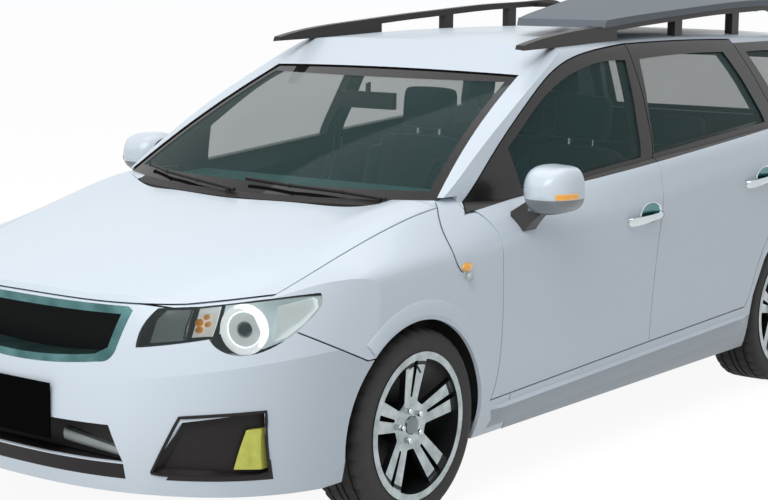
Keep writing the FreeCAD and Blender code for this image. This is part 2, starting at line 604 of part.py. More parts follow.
def upper_section(values, inset):
    belt_x_share, belt_z_share, rail_z_share, rail_x_share, roof_share = values
    belt_x = across(belt_x_share) - MOULDING_SEAT
    belt_z = up(belt_z_share)
    rail_z = up(rail_z_share)
    rail_x = across(rail_x_share)
    roof = up(roof_share)
    points = [(belt_x - FOOT_TUCK, belt_z - 3 * FOOT_TUCK), (belt_x - FOOT_TUCK / 4, belt_z - FOOT_TUCK)]
    for share in SIDE_GLASS_SHARES:
        bow = GLASS_BOW * 4 * share * (1 - share)
        points.append((belt_x + (rail_x - belt_x) * share + bow, belt_z + (rail_z - belt_z) * share))
    points += [(rail_x * x, rail_z + (roof - rail_z) * z) for x, z in ROOF_CROWN_SHARES]
    points.append((0, roof))
    return moved_in(points, inset)


def mean_steps(lines):
    """Parameters from 0 to 1 that follow the mean spacing along several lines of points."""
    steps = [0.0]
    for index in range(len(lines[0]) - 1):
        gaps = [line[index].distanceToPoint(line[index + 1]) for line in lines]
        steps.append(steps[-1] + sum(gaps) / len(gaps))
    return [step / steps[-1] for step in steps]


def smooth_curve(points, steps):
    curve = Part.BSplineCurve()
    curve.interpolate(Points=points, Parameters=steps)
    return curve


def smooth_surface(grid):
    """A smooth face through rows of points, made row by row and then across the rows."""
    columns = [list(column) for column in zip(*grid)]
    along_row = mean_steps(grid)
    across_rows = mean_steps(columns)
    row_curves = [smooth_curve(row, along_row) for row in grid]
    pole_columns = zip(*[curve.getPoles() for curve in row_curves])
    column_curves = [smooth_curve(list(column), across_rows) for column in pole_columns]
    poles = [list(row) for row in zip(*[curve.getPoles() for curve in column_curves])]
    u, v = column_curves[0], row_curves[0]
    surface = Part.BSplineSurface()
    surface.buildFromPolesMultsKnots(
        poles, u.getMultiplicities(), v.getMultiplicities(), u.getKnots(), v.getKnots(), False, False,
        u.Degree, v.Degree)
    return surface.toShape()


def lengthwise_solid(stations, section, inset):
    """The solid inside a smooth skin through sections along the car, closed by flat ends and bottom."""
    grid = []
    for station in stations:
        half = section(station[1:], inset)
        y = along(station[0])
        left = [Vector(x, y, z) for x, z in half]
        right = [Vector(-x, y, z) for x, z in reversed(half[:-1])]
        grid.append(left + right)
    skin = smooth_surface(grid)
    corners = [grid[0][0], grid[0][-1], grid[-1][-1], grid[-1][0]]
    tips = [min(skin.Vertexes, key=lambda vertex: vertex.Point.distanceToPoint(corner)) for corner in corners]
    sides = []
    for index in range(4):
        ends = (tips[index], tips[(index + 1) % 4])
        for edge in skin.Edges:
            if all(any(vertex.isSame(end) for vertex in edge.Vertexes) for end in ends):
                sides.append(edge)
                break
    front_line = Part.makeLine(tips[0].Point, tips[1].Point)
    back_line = Part.makeLine(tips[3].Point, tips[2].Point)
    faces = [skin, Part.Face(Part.Wire([sides[0], front_line])), Part.Face(Part.Wire([sides[2], back_line]))]
    faces.append(Part.makeRuledSurface(sides[1], sides[3]))
    shell = Part.makeShell(faces)
    shell.sewShape()
    return upright(Part.Solid(shell))


def upright(solid):
    """The solid with its faces turned outward."""
    if solid.Volume < 0:
        solid.reverse()
    return solid


def end_solid(plan, lean, inset, sense):
    """What lies behind the nose surface (sense 1) or ahead of the tail surface (sense -1)."""
    plan_points = [Vector(across(x), along(y), 0) for x, y in plan]
    moved = []
    for index, point in enumerate(plan_points):
        before = plan_points[max(index - 1, 0)]
        after = plan_points[min(index + 1, len(plan_points) - 1)]
        run = (after - before).normalize()
        normal = Vector(run.y * sense, -run.x * sense, 0) if point.x else Vector(0, -sense, 0)
        moved.append(point - normal * inset)
    columns = [Vector(-p.x, p.y, 0) for p in reversed(moved[1:])] + moved
    grid = []
    for height_share, lean_share in lean:
        shift = lean_share * LENGTH * sense
        grid.append([Vector(p.x, p.y + shift, up(height_share)) for p in columns])
    return upright(smooth_surface(grid).extrude(Vector(0, sense * 2 * LENGTH, 0)))


def screen_point(column, rise_share, inset):
    """A point of the windscreen's surface in one of its columns, moved in by an inset."""
    x_share, foot_share, top_share = column
    foot = up(SCREEN_FOOT_SHARE)
    height = up(SCREEN_TOP_SHARE) - foot
    run = (top_share - foot_share) * LENGTH
    slope = Vector(0, -height, run).normalize()
    bulge = SCREEN_BULGE * math.sin(math.pi * rise_share) - inset
    y = along(foot_share) + run * rise_share + slope.y * bulge
    return Vector(across(x_share), y, foot + height * rise_share + slope.z * bulge)


def screen_solid(inset):
    """What lies behind the windscreen's surface, moved in along its slope."""
    grid = [[screen_point(column, rise, inset) for column in SCREEN_COLUMNS] for rise in SCREEN_ROW_SHARES]
    return upright(smooth_surface(grid).extrude(Vector(0, 2 * LENGTH, 0)))


def box(x0, x1, y0, y1, z0, z1):
    return Part.makeBox(x1 - x0, y1 - y0, z1 - z0, Vector(x0, y0, z0))


def rod(start, end, radius):
    """A round bar from one point to another."""
    a = Vector(*start)
    run = Vector(*end) - a
    return Part.makeCylinder(radius, run.Length, a, run)


def mirrored(shape):
    """The same piece on the other side of the car."""
    return shape.mirror(Vector(0, 0, 0), Vector(1, 0, 0))


def both_sides(shape):
    """A piece and its mirror image, as solids that don't touch."""
    return Part.makeCompound(shape.Solids + mirrored(shape).Solids)


def fused(shapes):
    return shapes[0].fuse(shapes[1:]) if len(shapes) > 1 else shapes[0]


def cut_all(shape, tools):
    for tool in tools:
        shape = shape.cut(tool)
    return shape


def across_prism(points, x0, x1):
    """A polygon of (Y, Z) points as a solid from x0 to x1."""
    corners = [Vector(x0, y, z) for y, z in points]
    face = Part.Face(Part.makePolygon(corners + corners[:1]))
    return upright(face.extrude(Vector(x1 - x0, 0, 0)))


def flat_prism(points, z0, z1):
    """A polygon of (X, Y) points as a solid from z0 to z1."""
    corners = [Vector(x, y, z0) for x, y in points]
    face = Part.Face(Part.makePolygon(corners + corners[:1]))
    return upright(face.extrude(Vector(0, 0, z1 - z0)))


def band(points, wall):
    """A line of (Y, Z) points as a closed polygon of even thickness."""
    offset = []
    for index, (y, z) in enumerate(points):
        here = Vector(0, y, z)
        before = here - Vector(0, *points[index - 1]) if index else Vector(0, *points[1]) - here
        after = Vector(0, *points[index + 1]) - here if index < len(points) - 1 else before
        out_before = before.normalize().cross(Vector(1, 0, 0))
        out_after = after.normalize().cross(Vector(1, 0, 0))
        both = out_before + out_after
        moved = here + both * (2 * wall / both.dot(both))
        offset.append((moved.y, moved.z))
    return points + offset[::-1]


def turned_about_x(profile, centre_y, centre_z):
    """A closed profile of (X, radius) points turned about a line along X."""
    corners = [Vector(x, centre_y, centre_z + radius) for x, radius in profile]
    face = Part.Face(Part.makePolygon(corners + corners[:1]))
    return upright(face.revolve(Vector(0, centre_y, centre_z), Vector(1, 0, 0), 360))


def placed(pairs):
    """Shares of the length and the height as (Y, Z)."""
    return [(along(y), up(z)) for y, z in pairs]


def cavity_section(values, inset):
    """Half a section of the space inside the lower body, with its plain inner walls."""
    half_share, crease_share, edge_x_share, edge_z_share, centre_share = values
    side = across(half_share) - inset
    crease = up(crease_share)
    edge_x = across(edge_x_share) - inset
    edge_z = up(edge_z_share)
    points = [(side, BOTTOM), (side, crease / 2), (side - STEP / 4, crease - 3 * inset / 2)]
    points.append((side - CAVITY_SHOULDER, crease - inset * 2 / 3))
    points.append((edge_x, edge_z - inset * 2 / 3))
    points += [(edge_x * x, edge_z - inset * z) for x, z in CAVITY_TOP_SHARES]
    return points


def level(inset, upper_inset):
    """The lower and the upper body moved in, with neither nose nor tail."""
    lower = lengthwise_solid(LOWER_SHARES, lower_section, inset)
    upper = lengthwise_solid(UPPER_SHARES, upper_section, upper_inset)
    return [lower, upper.common(screen_solid(upper_inset))]


def nose_at(inset):
    return end_solid(NOSE_PLAN_SHARES, NOSE_LEAN_SHARES, inset, 1)


def tail_at(inset):
    return end_solid(TAIL_PLAN_SHARES, TAIL_LEAN_SHARES, inset, -1)


def arch_cylinder(centre_y, radius, inner_x):
    """A round bar across one side, from inner_x outward, around a wheel arch."""
    return Part.makeCylinder(radius, WIDTH, Vector(inner_x, centre_y, ARCH_CENTRE_HEIGHT), Vector(1, 0, 0))


class Body:
    """The car's outside, its inside space and the levels between them."""

    def __init__(self):
        self.lower, self.upper = level(0.0, 0.0)
        self.skin_lower, self.skin_upper = level(SKIN, SKIN)
        self.seat_lower, self.seat_upper = level(SKIN + FIT, SKIN + FIT)
        self.step_lower, self.step_upper = level(SKIN + STEP, SKIN + STEP)
        self.nose = nose_at(0.0)
        self.tail = tail_at(0.0)
        cavity_box = box(-WIDTH, WIDTH, along(FIREWALL_SHARE), LENGTH, CAVITY_FLOOR, 2 * ROOF_HEIGHT)
        inner_tail = tail_at(TAIL_WALL)
        self.cavity_low = lengthwise_solid(LOWER_SHARES, cavity_section,
                                           WALL).common(cavity_box).common(inner_tail)
        self.cavity_high = level(WALL, FRAME_WALL)[1].common(inner_tail)
        front_box = box(-WIDTH, WIDTH, -LENGTH, along(FRONT_END_SHARE), 0, ROOF_HEIGHT)
        self.front = self.lower.common(front_box).common(self.nose)
        self.left = box(0, WIDTH, -LENGTH, LENGTH, 0, 2 * ROOF_HEIGHT)


def bonnet_runs():
    """The bonnet's outline in plan, with its right side mirrored from its left."""
    right = [(-x, y) for x, y in reversed(BONNET_SIDE_SHARES)]
    return [BONNET_SIDE_SHARES, BONNET_REAR_SHARES, right, [right[-1], BONNET_SIDE_SHARES[0]]]


def bonnet_space(margin):
    """All that lies over the bonnet's front edge and inside its plan."""
    edge = BONNET_EDGE_SHARES
    above = [(edge[-1][0], 1.0), (edge[0][0], 1.0)]
    above_runs = [edge, [edge[-1], above[0]], above, [above[1], edge[0]]]
    return plan_prism(bonnet_runs(), margin).common(front_prism(above_runs, margin, -FAR, FAR))


def bonnet(body):
    hull = body.front.cut(level(BONNET_WALL, BONNET_WALL)[0])
    return hull.common(bonnet_space(-GAP / 2))


def headlamp_space(margin):
    """The room of the left headlamp, behind its outline on the front."""
    runs = front_prism(HEADLAMP_OUTLINE_SHARES, margin, -FAR, along(SIDE_START_SHARE))
    inner, outer = LAMP_BACK_SHARES
    back = [(across(inner[0]), along(inner[1])), (across(outer[0]), along(outer[1]))]
    return runs.common(flat_prism(back + [(back[1][0], -LENGTH), (back[0][0], -LENGTH)], 0, ROOF_HEIGHT))


def front_fenders(body):
    thin = body.front.cut(body.skin_lower.common(nose_at(SKIN)))
    fender = thin.common(side_prism(FENDER_OUTLINE_SHARES, -GAP / 2))
    arch = arch_cylinder(FRONT_AXLE_Y - FRONT_ARCH_SHIFT, FRONT_ARCH_RADIUS, 0)
    tools = [bonnet_space(GAP / 2), headlamp_space(0.0), side_prism(FRONT_DOOR_OUTLINE_SHARES, GAP / 2), arch]
    tools.append(front_prism(WINDSCREEN_OUTLINE_SHARES, 0.0, -FAR, 0.0))
    tools.append(front_prism(COWL_OUTLINE_SHARES, FIT, FRONT_AXLE_Y, LENGTH))
    return both_sides(cut_all(fender, tools))


def front_bumper(body):
    ring = body.front.cut(body.skin_lower.common(nose_at(SKIN))).common(body.left)
    ring = ring.common(box(0, WIDTH, -LENGTH, along(BUMPER_BACK_SHARE), up(BUMPER_BOTTOM_SHARE), ROOF_HEIGHT))
    arch = arch_cylinder(FRONT_AXLE_Y - FRONT_ARCH_SHIFT, FRONT_ARCH_RADIUS, 0)
    half = cut_all(ring, [side_prism(FENDER_OUTLINE_SHARES, GAP / 2), bonnet_space(GAP / 2),
                          headlamp_space(0.0), arch])
    for runs in (GRILLE_OUTLINE_SHARES, INTAKE_OUTLINE_SHARES, LIP_OUTLINE_SHARES, FOG_OUTLINE_SHARES):
        half = half.cut(front_prism(runs, 0.0, -FAR, FRONT_AXLE_Y))
    return half.fuse(mirrored(half))


def grille(body):
    """The grille's frame with the flat plate inside it."""
    back = along(GRILLE_BACK_SHARE)
    block = body.front.common(front_prism(GRILLE_OUTLINE_SHARES, -FIT, -FAR, back))
    return block.cut(front_prism(GRILLE_OPENING_SHARES, 0.0, -FAR, back - GRILLE_PLATE))


def lower_grille(body):
    """The lower intake's plate, the dark lip under it and the recesses round the fog lamps."""
    back = along(LOWER_GRILLE_BACK_SHARE)
    intake = body.front.common(front_prism(INTAKE_OUTLINE_SHARES, -FIT, back - 2 * GRILLE_PLATE, back))
    lip = body.front.common(front_prism(LIP_OUTLINE_SHARES, -FIT, -FAR, back))
    recess = fog_plate(FOG_OUTLINE_SHARES, FOG_RECESS, FOG_RECESS + SKIN, -FIT).common(body.front)
    return Part.makeCompound([intake, lip, both_sides(recess)])


def fog_plate(runs, front, rear, by):
    """A plate inside an outline of the front, between two depths under the nose's surface."""
    space = front_prism(runs, by, -FAR, along(FOG_BACK_SHARE))
    return space.common(nose_at(front)).cut(nose_at(rear))


def front_lamps(body):
    """Both headlamps and both fog lamps."""
    lamp = body.front.common(headlamp_space(-LAMP_GAP))
    fog = fog_plate(FOG_LAMP_OUTLINE_SHARES, SKIN / 2, FOG_RECESS - FIT, 0.0).common(body.front)
    return Part.makeCompound([both_sides(lamp), both_sides(fog)])


def tail_lamp_space(margin):
    return front_prism(TAIL_LAMP_OUTLINE_SHARES, margin, along(TAIL_LAMP_START_SHARE) - margin, FAR)


def tailgate_space(margin):
    return front_prism(TAILGATE_OUTLINE_SHARES, margin, along(ROOF_REAR_SHARE) - margin, FAR)


def door_pads(runs, front_run):
    """The hinge leaves that fill the step between a pillar and the front face of a door."""
    start = along(runs[front_run][0][0] if front_run else runs[front_run][-1][0])
    ring = side_prism(runs, STEP + GAP - FLANGE).cut(side_prism(runs, FIT - FLANGE))
    x0, x1 = [across(share) for share in PAD_SIDE_SHARES]
    pads = []
    for share in HINGE_PAD_SHARES:
        zone = box(x0, x1, start - 2 * FLANGE, start + 4 * FLANGE, up(share), up(share) + HINGE_PAD_HEIGHT)
        pads.append(ring.common(zone))
    return pads


def body_side(body):
    """The left side of the body: sill, pillars, rail over the doors and rear quarter."""
    low_box = box(across(ROOF_SIDE_SHARE), WIDTH, along(SIDE_START_SHARE), LENGTH, up(SILL_BOTTOM_SHARE),
                  2 * ROOF_HEIGHT)
    side = body.lower.common(body.tail).common(low_box).fuse(body.upper.common(body.tail).common(low_box))
    side = cut_all(side, [body.cavity_low, body.cavity_high])
    side = side.cut(box(0, SILL_INNER_X, -LENGTH, LENGTH, 0, up(REAR_BUMPER_TOP_SHARE)))
    for runs, core_runs in DOOR_OUTLINES:
        rebate = side_prism(runs, GAP / 2).cut(body.step_lower).cut(body.step_upper)
        side = cut_all(side, [rebate, side_prism(core_runs, STEP - FLANGE)])
    bumper_zone = box(0, WIDTH, along(REAR_BUMPER_START_SHARE), LENGTH, 0,
                      up(REAR_BUMPER_TOP_SHARE) + GAP / 2)
    laps = [side_prism(FENDER_OUTLINE_SHARES, GAP / 2).cut(body.seat_lower)]
    laps.append(bumper_zone.cut(body.seat_lower.common(tail_at(SKIN + FIT))))
    gate_rebate = tailgate_space(GAP / 2).cut(tail_at(SKIN + STEP).common(fused([body.step_lower,
                                                                                 body.step_upper])))
    side = cut_all(side, laps + [gate_rebate])
    side = cut_all(side, [
        bonnet_space(GAP / 2), side_prism(QUARTER_WINDOW_OUTLINE_SHARES),
        front_prism(WINDSCREEN_OUTLINE_SHARES, 0.0, -FAR, 0.0), tail_lamp_space(0.0),
        arch_cylinder(FRONT_AXLE_Y, FRONT_LINER_RADIUS + FIT, 0),
        arch_cylinder(REAR_AXLE_Y, REAR_ARCH_RADIUS, 0)])
    return side.fuse(door_pads(FRONT_DOOR_CORE_OUTLINE_SHARES, 1) + door_pads(REAR_DOOR_OUTLINE_SHARES, 0))


def door(body, runs, core_runs, window):
    """A door as thick as the wall, with a thin flange round its edge and an open window."""
    prism = side_prism(runs, -GAP / 2)
    shell = body.lower.common(prism).fuse(body.upper.common(prism))
    shell = cut_all(shell, [body.cavity_low, body.cavity_high])
    rim = side_prism(runs, GAP).cut(side_prism(core_runs, -FLANGE))
    return cut_all(shell, [rim.common(body.skin_lower), rim.common(body.skin_upper), side_prism(window)])


def side_glass(body, window):
    outer = lengthwise_solid(UPPER_SHARES, upper_section, GLASS_INSET)
    inner = lengthwise_solid(UPPER_SHARES, upper_section, GLASS_INSET + GLASS)
    prism = side_prism(window, -FIT)
    return outer.common(prism).cut(inner)


def outside(body):
    """The whole outside of the cabin part, with the tail."""
    return body.lower.common(body.tail).fuse(body.upper.common(body.tail))


def roof(body):
    zone = box(-across(ROOF_SIDE_SHARE), across(ROOF_SIDE_SHARE), -LENGTH, along(ROOF_REAR_SHARE) - GAP / 2,
               up(ROOF_FOOT_SHARE), 2 * ROOF_HEIGHT)
    skin = body.upper.common(zone).cut(body.cavity_high)
    skin = skin.cut(front_prism(WINDSCREEN_OUTLINE_SHARES, 0.0, -FAR, 0.0))
    rear = along(ROOF_REAR_SHARE)
    x0, x1 = [across(share) for share in PAD_PLACE_SHARES]
    z0, z1 = [up(share) for share in TAILGATE_PAD_SHARES]
    pad = box(x0, x1, rear - 2 * GAP, rear + GAP / 2 - FIT, z0, z1)
    return skin.fuse([pad, mirrored(pad)])


def cowl(body):
    """The scuttle between the bonnet and the windscreen, closed in front of the cabin."""
    zone = front_prism(COWL_OUTLINE_SHARES, 0.0, -LENGTH, along(COWL_END_SHARE))
    zone = zone.common(box(-WIDTH, WIDTH, -LENGTH, LENGTH, up(COWL_BOTTOM_SHARE), ROOF_HEIGHT))
    block = body.lower.common(zone).fuse(body.upper.common(zone))
    block = cut_all(block, [body.cavity_low, body.cavity_high, bonnet_space(GAP / 2)])
    block = block.cut(front_prism(WINDSCREEN_OUTLINE_SHARES, 0.0, -FAR, 0.0))
    x0, x1 = [across(share) for share in PAD_PLACE_SHARES]
    z0, z1 = [up(share) for share in BONNET_PAD_SHARES]
    pad = box(x0, x1, along(FIREWALL_SHARE), along(SIDE_START_SHARE), z0, z1)
    pad = pad.cut(plan_prism(bonnet_runs(), FIT - GAP / 2))
    front, half = along(FLOOR_SHARES[0][0]) + FIT, across(ROOF_SIDE_SHARE)
    z0, z1 = [up(share) for share in COWL_WALL_SHARES]
    wall = box(-half, half, front, front + COWL_WALL, z0, z1)
    return block.fuse([wall, pad, mirrored(pad)] + wipers())


def wipers():
    """Two wipers that lie along the foot of the windscreen, each on its pivot."""
    pieces = []
    for places in WIPER_COLUMN_SHARES:
        points = [screen_point(SCREEN_COLUMNS[index], rise, -WIPER_LIFT) for index, rise in places]
        pieces += [rod(a, b, WIPER_RADIUS) for a, b in zip(points, points[1:])]
        pieces += [Part.makeSphere(WIPER_JOINT_RADIUS, point) for point in points]
        pivot = points[0] + (points[1] - points[0]) * WIPER_PIVOT_SHARE
        pieces.append(rod(pivot - Vector(0, 0, 3 * WIPER_LIFT), pivot, WIPER_PIVOT_RADIUS))
    return pieces


def fixed_windows(body):
    """The windscreen and both quarter windows."""
    screen = screen_solid(GLASS_INSET).cut(screen_solid(GLASS_INSET + GLASS))
    screen = screen.common(front_prism(WINDSCREEN_OUTLINE_SHARES, -FIT, -FAR, 0.0)).common(
        lengthwise_solid(UPPER_SHARES, upper_section, GLASS_INSET))
    quarter = side_glass(body, QUARTER_WINDOW_OUTLINE_SHARES)
    return Part.makeCompound([screen, both_sides(quarter)])


def rear_bumper(body):
    zone = box(0, WIDTH, along(REAR_BUMPER_START_SHARE), LENGTH, up(REAR_BUMPER_BOTTOM_SHARE),
               up(REAR_BUMPER_TOP_SHARE))
    half = body.lower.common(body.tail).common(zone).cut(body.skin_lower.common(tail_at(SKIN)))
    half = half.cut(arch_cylinder(REAR_AXLE_Y, REAR_ARCH_RADIUS, 0))
    return half.fuse(mirrored(half))


def tail_lamps(body):
    lamp = body.lower.common(body.tail).common(tail_lamp_space(-LAMP_GAP))
    lamp = lamp.cut(body.step_lower.common(tail_at(TAIL_WALL)))
    return both_sides(lamp)


def tailgate(body):
    """A skin over the whole outline with a deeper core inside it, and the window open."""
    shell = outside(body).common(tailgate_space(-GAP / 2))
    inner = fused([body.skin_lower, body.skin_upper]).common(tail_at(SKIN))
    core = box(-across(TAILGATE_CORE_SHARE), across(TAILGATE_CORE_SHARE), -LENGTH, LENGTH, 0, 2 * ROOF_HEIGHT)
    shell = shell.cut(inner.cut(core))
    shell = cut_all(shell, [body.cavity_low, body.cavity_high])
    return shell.cut(front_prism(TAILGATE_WINDOW_OUTLINE_SHARES, 0.0, 0.0, FAR))


def tailgate_glass():
    prism = front_prism(TAILGATE_WINDOW_OUTLINE_SHARES, -FIT, 0.0, FAR)
    return tail_at(GLASS_INSET).cut(tail_at(GLASS_INSET + GLASS)).common(prism)


def mirror_ring(scale, y):
    """One section of the mirror's shell, as a closed curve."""
    x0, z0 = across(MIRROR_PLACE_SHARES[0]), up(MIRROR_PLACE_SHARES[2])
    curve = Part.BSplineCurve()
    curve.interpolate([Vector(x0 + x * MIRROR_HALF_WIDTH * scale, y, z0 + z * MIRROR_HALF_HEIGHT * scale)
                       for x, z in MIRROR_PROFILE_SHARES], PeriodicFlag=True)
    return Part.Wire([curve.toShape()])


def door_mirror(body):
    """The mirror's shell with a flat glass face behind, and its foot on the door."""
    x, y = across(MIRROR_PLACE_SHARES[0]), along(MIRROR_PLACE_SHARES[1])
    rings = [mirror_ring(scale, y - share * MIRROR_DEPTH) for share, scale in MIRROR_DEPTH_SHARES]
    shell = Part.makeLoft(rings, True)
    foot_x = across(MIRROR_FOOT_SHARE)
    taper = flat_prism([(foot_x, y - MIRROR_FOOT_LENGTH), (x, y - MIRROR_FOOT_LENGTH / 2),
                        (x, y - MIRROR_FOOT_LENGTH / 4), (foot_x, y)], 0, ROOF_HEIGHT)
    foot = front_prism(MIRROR_FOOT_OUTLINE_SHARES, 0.0, y - MIRROR_FOOT_LENGTH, y).common(taper)
    seat = lengthwise_solid(LOWER_SHARES, lower_section, -FIT)
    return upright(shell).fuse(foot).cut(seat)


def tyre(centre_y):
    """A low tyre with rounded shoulders on its rim."""
    outer, inner = WHEEL_OUTER_X, WHEEL_INNER_X
    seat = RIM_RADIUS + FIT
    shoulder = TYRE_SHOULDER
    profile = [(outer - TYRE_BEAD, seat), (outer, seat + TYRE_BEAD), (outer, TYRE_RADIUS - shoulder)]
    profile += [(outer - shoulder / 4, TYRE_RADIUS - shoulder / 3), (outer - shoulder, TYRE_RADIUS)]
    profile += [(inner + shoulder, TYRE_RADIUS), (inner + shoulder / 4, TYRE_RADIUS - shoulder / 3)]
    profile += [(inner, TYRE_RADIUS - shoulder), (inner, seat + TYRE_BEAD), (inner + TYRE_BEAD, seat)]
    return turned_about_x(profile, centre_y, TYRE_RADIUS)


def spoke_cutter(width_in, width_out, radius_in, radius_out, angle, centre_y):
    """A tapered opening between two radii of a wheel, at an angle about its axis."""
    x0 = WHEEL_INNER_X
    corners = [(-width_in / 2, radius_in), (width_in / 2, radius_in), (width_out / 2, radius_out),
               (-width_out / 2, radius_out)]
    points = [(centre_y + y, TYRE_RADIUS + z) for y, z in corners]
    cutter = across_prism(points, x0, x0 + 2 * TYRE_WIDTH)
    along_x = [edge for edge in cutter.Edges if edge.tangentAt(edge.FirstParameter).x ** 2 > 0.5]
    cutter = cutter.makeFillet(width_in / 3, along_x)
    cutter.rotate(Vector(0, centre_y, TYRE_RADIUS), Vector(1, 0, 0), angle)
    return cutter


def rim(centre_y):
    """An alloy wheel: barrel with lips, five split spokes, hub and brake disc."""
    outer, inner = WHEEL_OUTER_X, WHEEL_INNER_X
    bed = RIM_RADIUS - RIM_WALL
    barrel = [(outer, bed), (outer, RIM_RADIUS + TYRE_BEAD), (outer - TYRE_BEAD, RIM_RADIUS)]
    barrel += [(inner + TYRE_BEAD, RIM_RADIUS), (inner, RIM_RADIUS + TYRE_BEAD), (inner, bed)]
    ring = turned_about_x(barrel, centre_y, TYRE_RADIUS)
    face = outer - RIM_LIP
    root = face - SPOKE_DISH
    disc = [(face, bed + RIM_WALL / 2), (root, HUB_RADIUS), (root + RIM_WALL, 0),
            (root - 2 * SPOKE_THICKNESS, 0), (root - 2 * SPOKE_THICKNESS, HUB_RADIUS),
            (root - SPOKE_THICKNESS, HUB_RADIUS), (face - SPOKE_THICKNESS, bed + RIM_WALL / 2)]
    plate = turned_about_x(disc, centre_y, TYRE_RADIUS)
    turn = 360.0 / SPOKE_COUNT
    inner_radius = HUB_RADIUS + RIM_LIP
    gap_in = 2 * math.pi * inner_radius / SPOKE_COUNT - SPOKE_ROOT_WIDTH
    gap_out = 2 * math.pi * bed / SPOKE_COUNT - SPOKE_TIP_WIDTH
    for index in range(SPOKE_COUNT):
        plate = plate.cut(spoke_cutter(gap_in, gap_out, inner_radius, bed, (index + 0.5) * turn, centre_y))
        plate = plate.cut(spoke_cutter(SPOKE_SLOT_WIDTH / 2, SPOKE_SLOT_WIDTH,
                                       2 * inner_radius - HUB_RADIUS, bed, index * turn, centre_y))
    disc_x = outer - DISC_INSET
    hub_end = disc_x - RIM_LIP
    hub = Part.makeCylinder(HUB_RADIUS, root - SPOKE_THICKNESS - hub_end,
                            Vector(hub_end, centre_y, TYRE_RADIUS), Vector(1, 0, 0))
    brake = Part.makeCylinder(DISC_RADIUS, DISC_THICKNESS, Vector(disc_x, centre_y, TYRE_RADIUS),
                              Vector(1, 0, 0))
    bore = Part.makeCylinder(HUB_BORE + FIT, HUB_LENGTH, Vector(hub_end, centre_y, TYRE_RADIUS),
                             Vector(1, 0, 0))
    return ring.fuse([plate, hub, brake]).cut(bore)


def spindle(centre_y, start_x):
    """The stub that a wheel's hub turns on."""
    end = WHEEL_OUTER_X - DISC_INSET - RIM_LIP + HUB_LENGTH - GAP
    return Part.makeCylinder(HUB_BORE, end - start_x, Vector(start_x, centre_y, TYRE_RADIUS), Vector(1, 0, 0))


def caliper(centre_y):
    """A brake caliper that straddles the disc ahead of the axle."""
    disc_x = WHEEL_OUTER_X - DISC_INSET
    x0 = disc_x - CALIPER_WALL - CALIPER_GAP
    x1 = disc_x + DISC_THICKNESS + CALIPER_WALL + CALIPER_GAP
    y0 = centre_y - DISC_RADIUS - CALIPER_WALL
    block = box(x0, x1, y0, y0 + CALIPER_DEPTH, TYRE_RADIUS - CALIPER_HEIGHT / 2,
                TYRE_RADIUS + CALIPER_HEIGHT / 2)
    slot = Part.makeCylinder(DISC_RADIUS + CALIPER_GAP, DISC_THICKNESS + 2 * CALIPER_GAP,
                             Vector(disc_x - CALIPER_GAP, centre_y, TYRE_RADIUS), Vector(1, 0, 0))
    return block.cut(slot)


def knuckle():
    """The left upright with its stub axle, caliper, strut and spring, all turning on the kingpin."""
    foot = Vector(KINGPIN_FOOT_X, FRONT_AXLE_Y, KINGPIN_FOOT_Z)
    top = Vector(KINGPIN_TOP_X, FRONT_AXLE_Y, KINGPIN_TOP_Z)
    run = top - foot
    axis = (top - foot).normalize()
    hub_end = WHEEL_OUTER_X - DISC_INSET - RIM_LIP - GAP
    upright_x = hub_end - UPRIGHT_WALL
    half = UPRIGHT_WIDTH / 2
    plate = box(upright_x, hub_end, FRONT_AXLE_Y - half, FRONT_AXLE_Y + half, TYRE_RADIUS - UPRIGHT_WIDTH,
                TYRE_RADIUS + UPRIGHT_WIDTH)
    arm = box(upright_x, hub_end, FRONT_AXLE_Y - DISC_RADIUS - CALIPER_WALL / 2, FRONT_AXLE_Y,
              TYRE_RADIUS - CALIPER_HEIGHT / 3, TYRE_RADIUS + CALIPER_HEIGHT / 3)
    ball = rod(foot, foot + axis * (UPRIGHT_WIDTH / 2), BALL_RADIUS)
    strut = rod(foot + run * STRUT_SHARES[0], top, STRUT_RADIUS)
    coil_foot = foot + run * STRUT_SHARES[1]
    coil_run = run * (STRUT_SHARES[2] - STRUT_SHARES[1])
    turns = [coil_foot + coil_run * ((index + 0.5) / SPRING_TURNS) for index in range(SPRING_TURNS)]
    height = coil_run.Length / SPRING_TURNS
    coils = [Part.makeCone(SPRING_RADIUS, SPRING_RADIUS - height / 3, height / 2, point,
                           axis) for point in turns]
    coils += [Part.makeCone(SPRING_RADIUS - height / 3, SPRING_RADIUS, height / 2,
                            point - axis * (height / 2), axis) for point in turns]
    return fused([plate, arm, ball, strut, caliper(FRONT_AXLE_Y), spindle(FRONT_AXLE_Y, upright_x)] + coils)


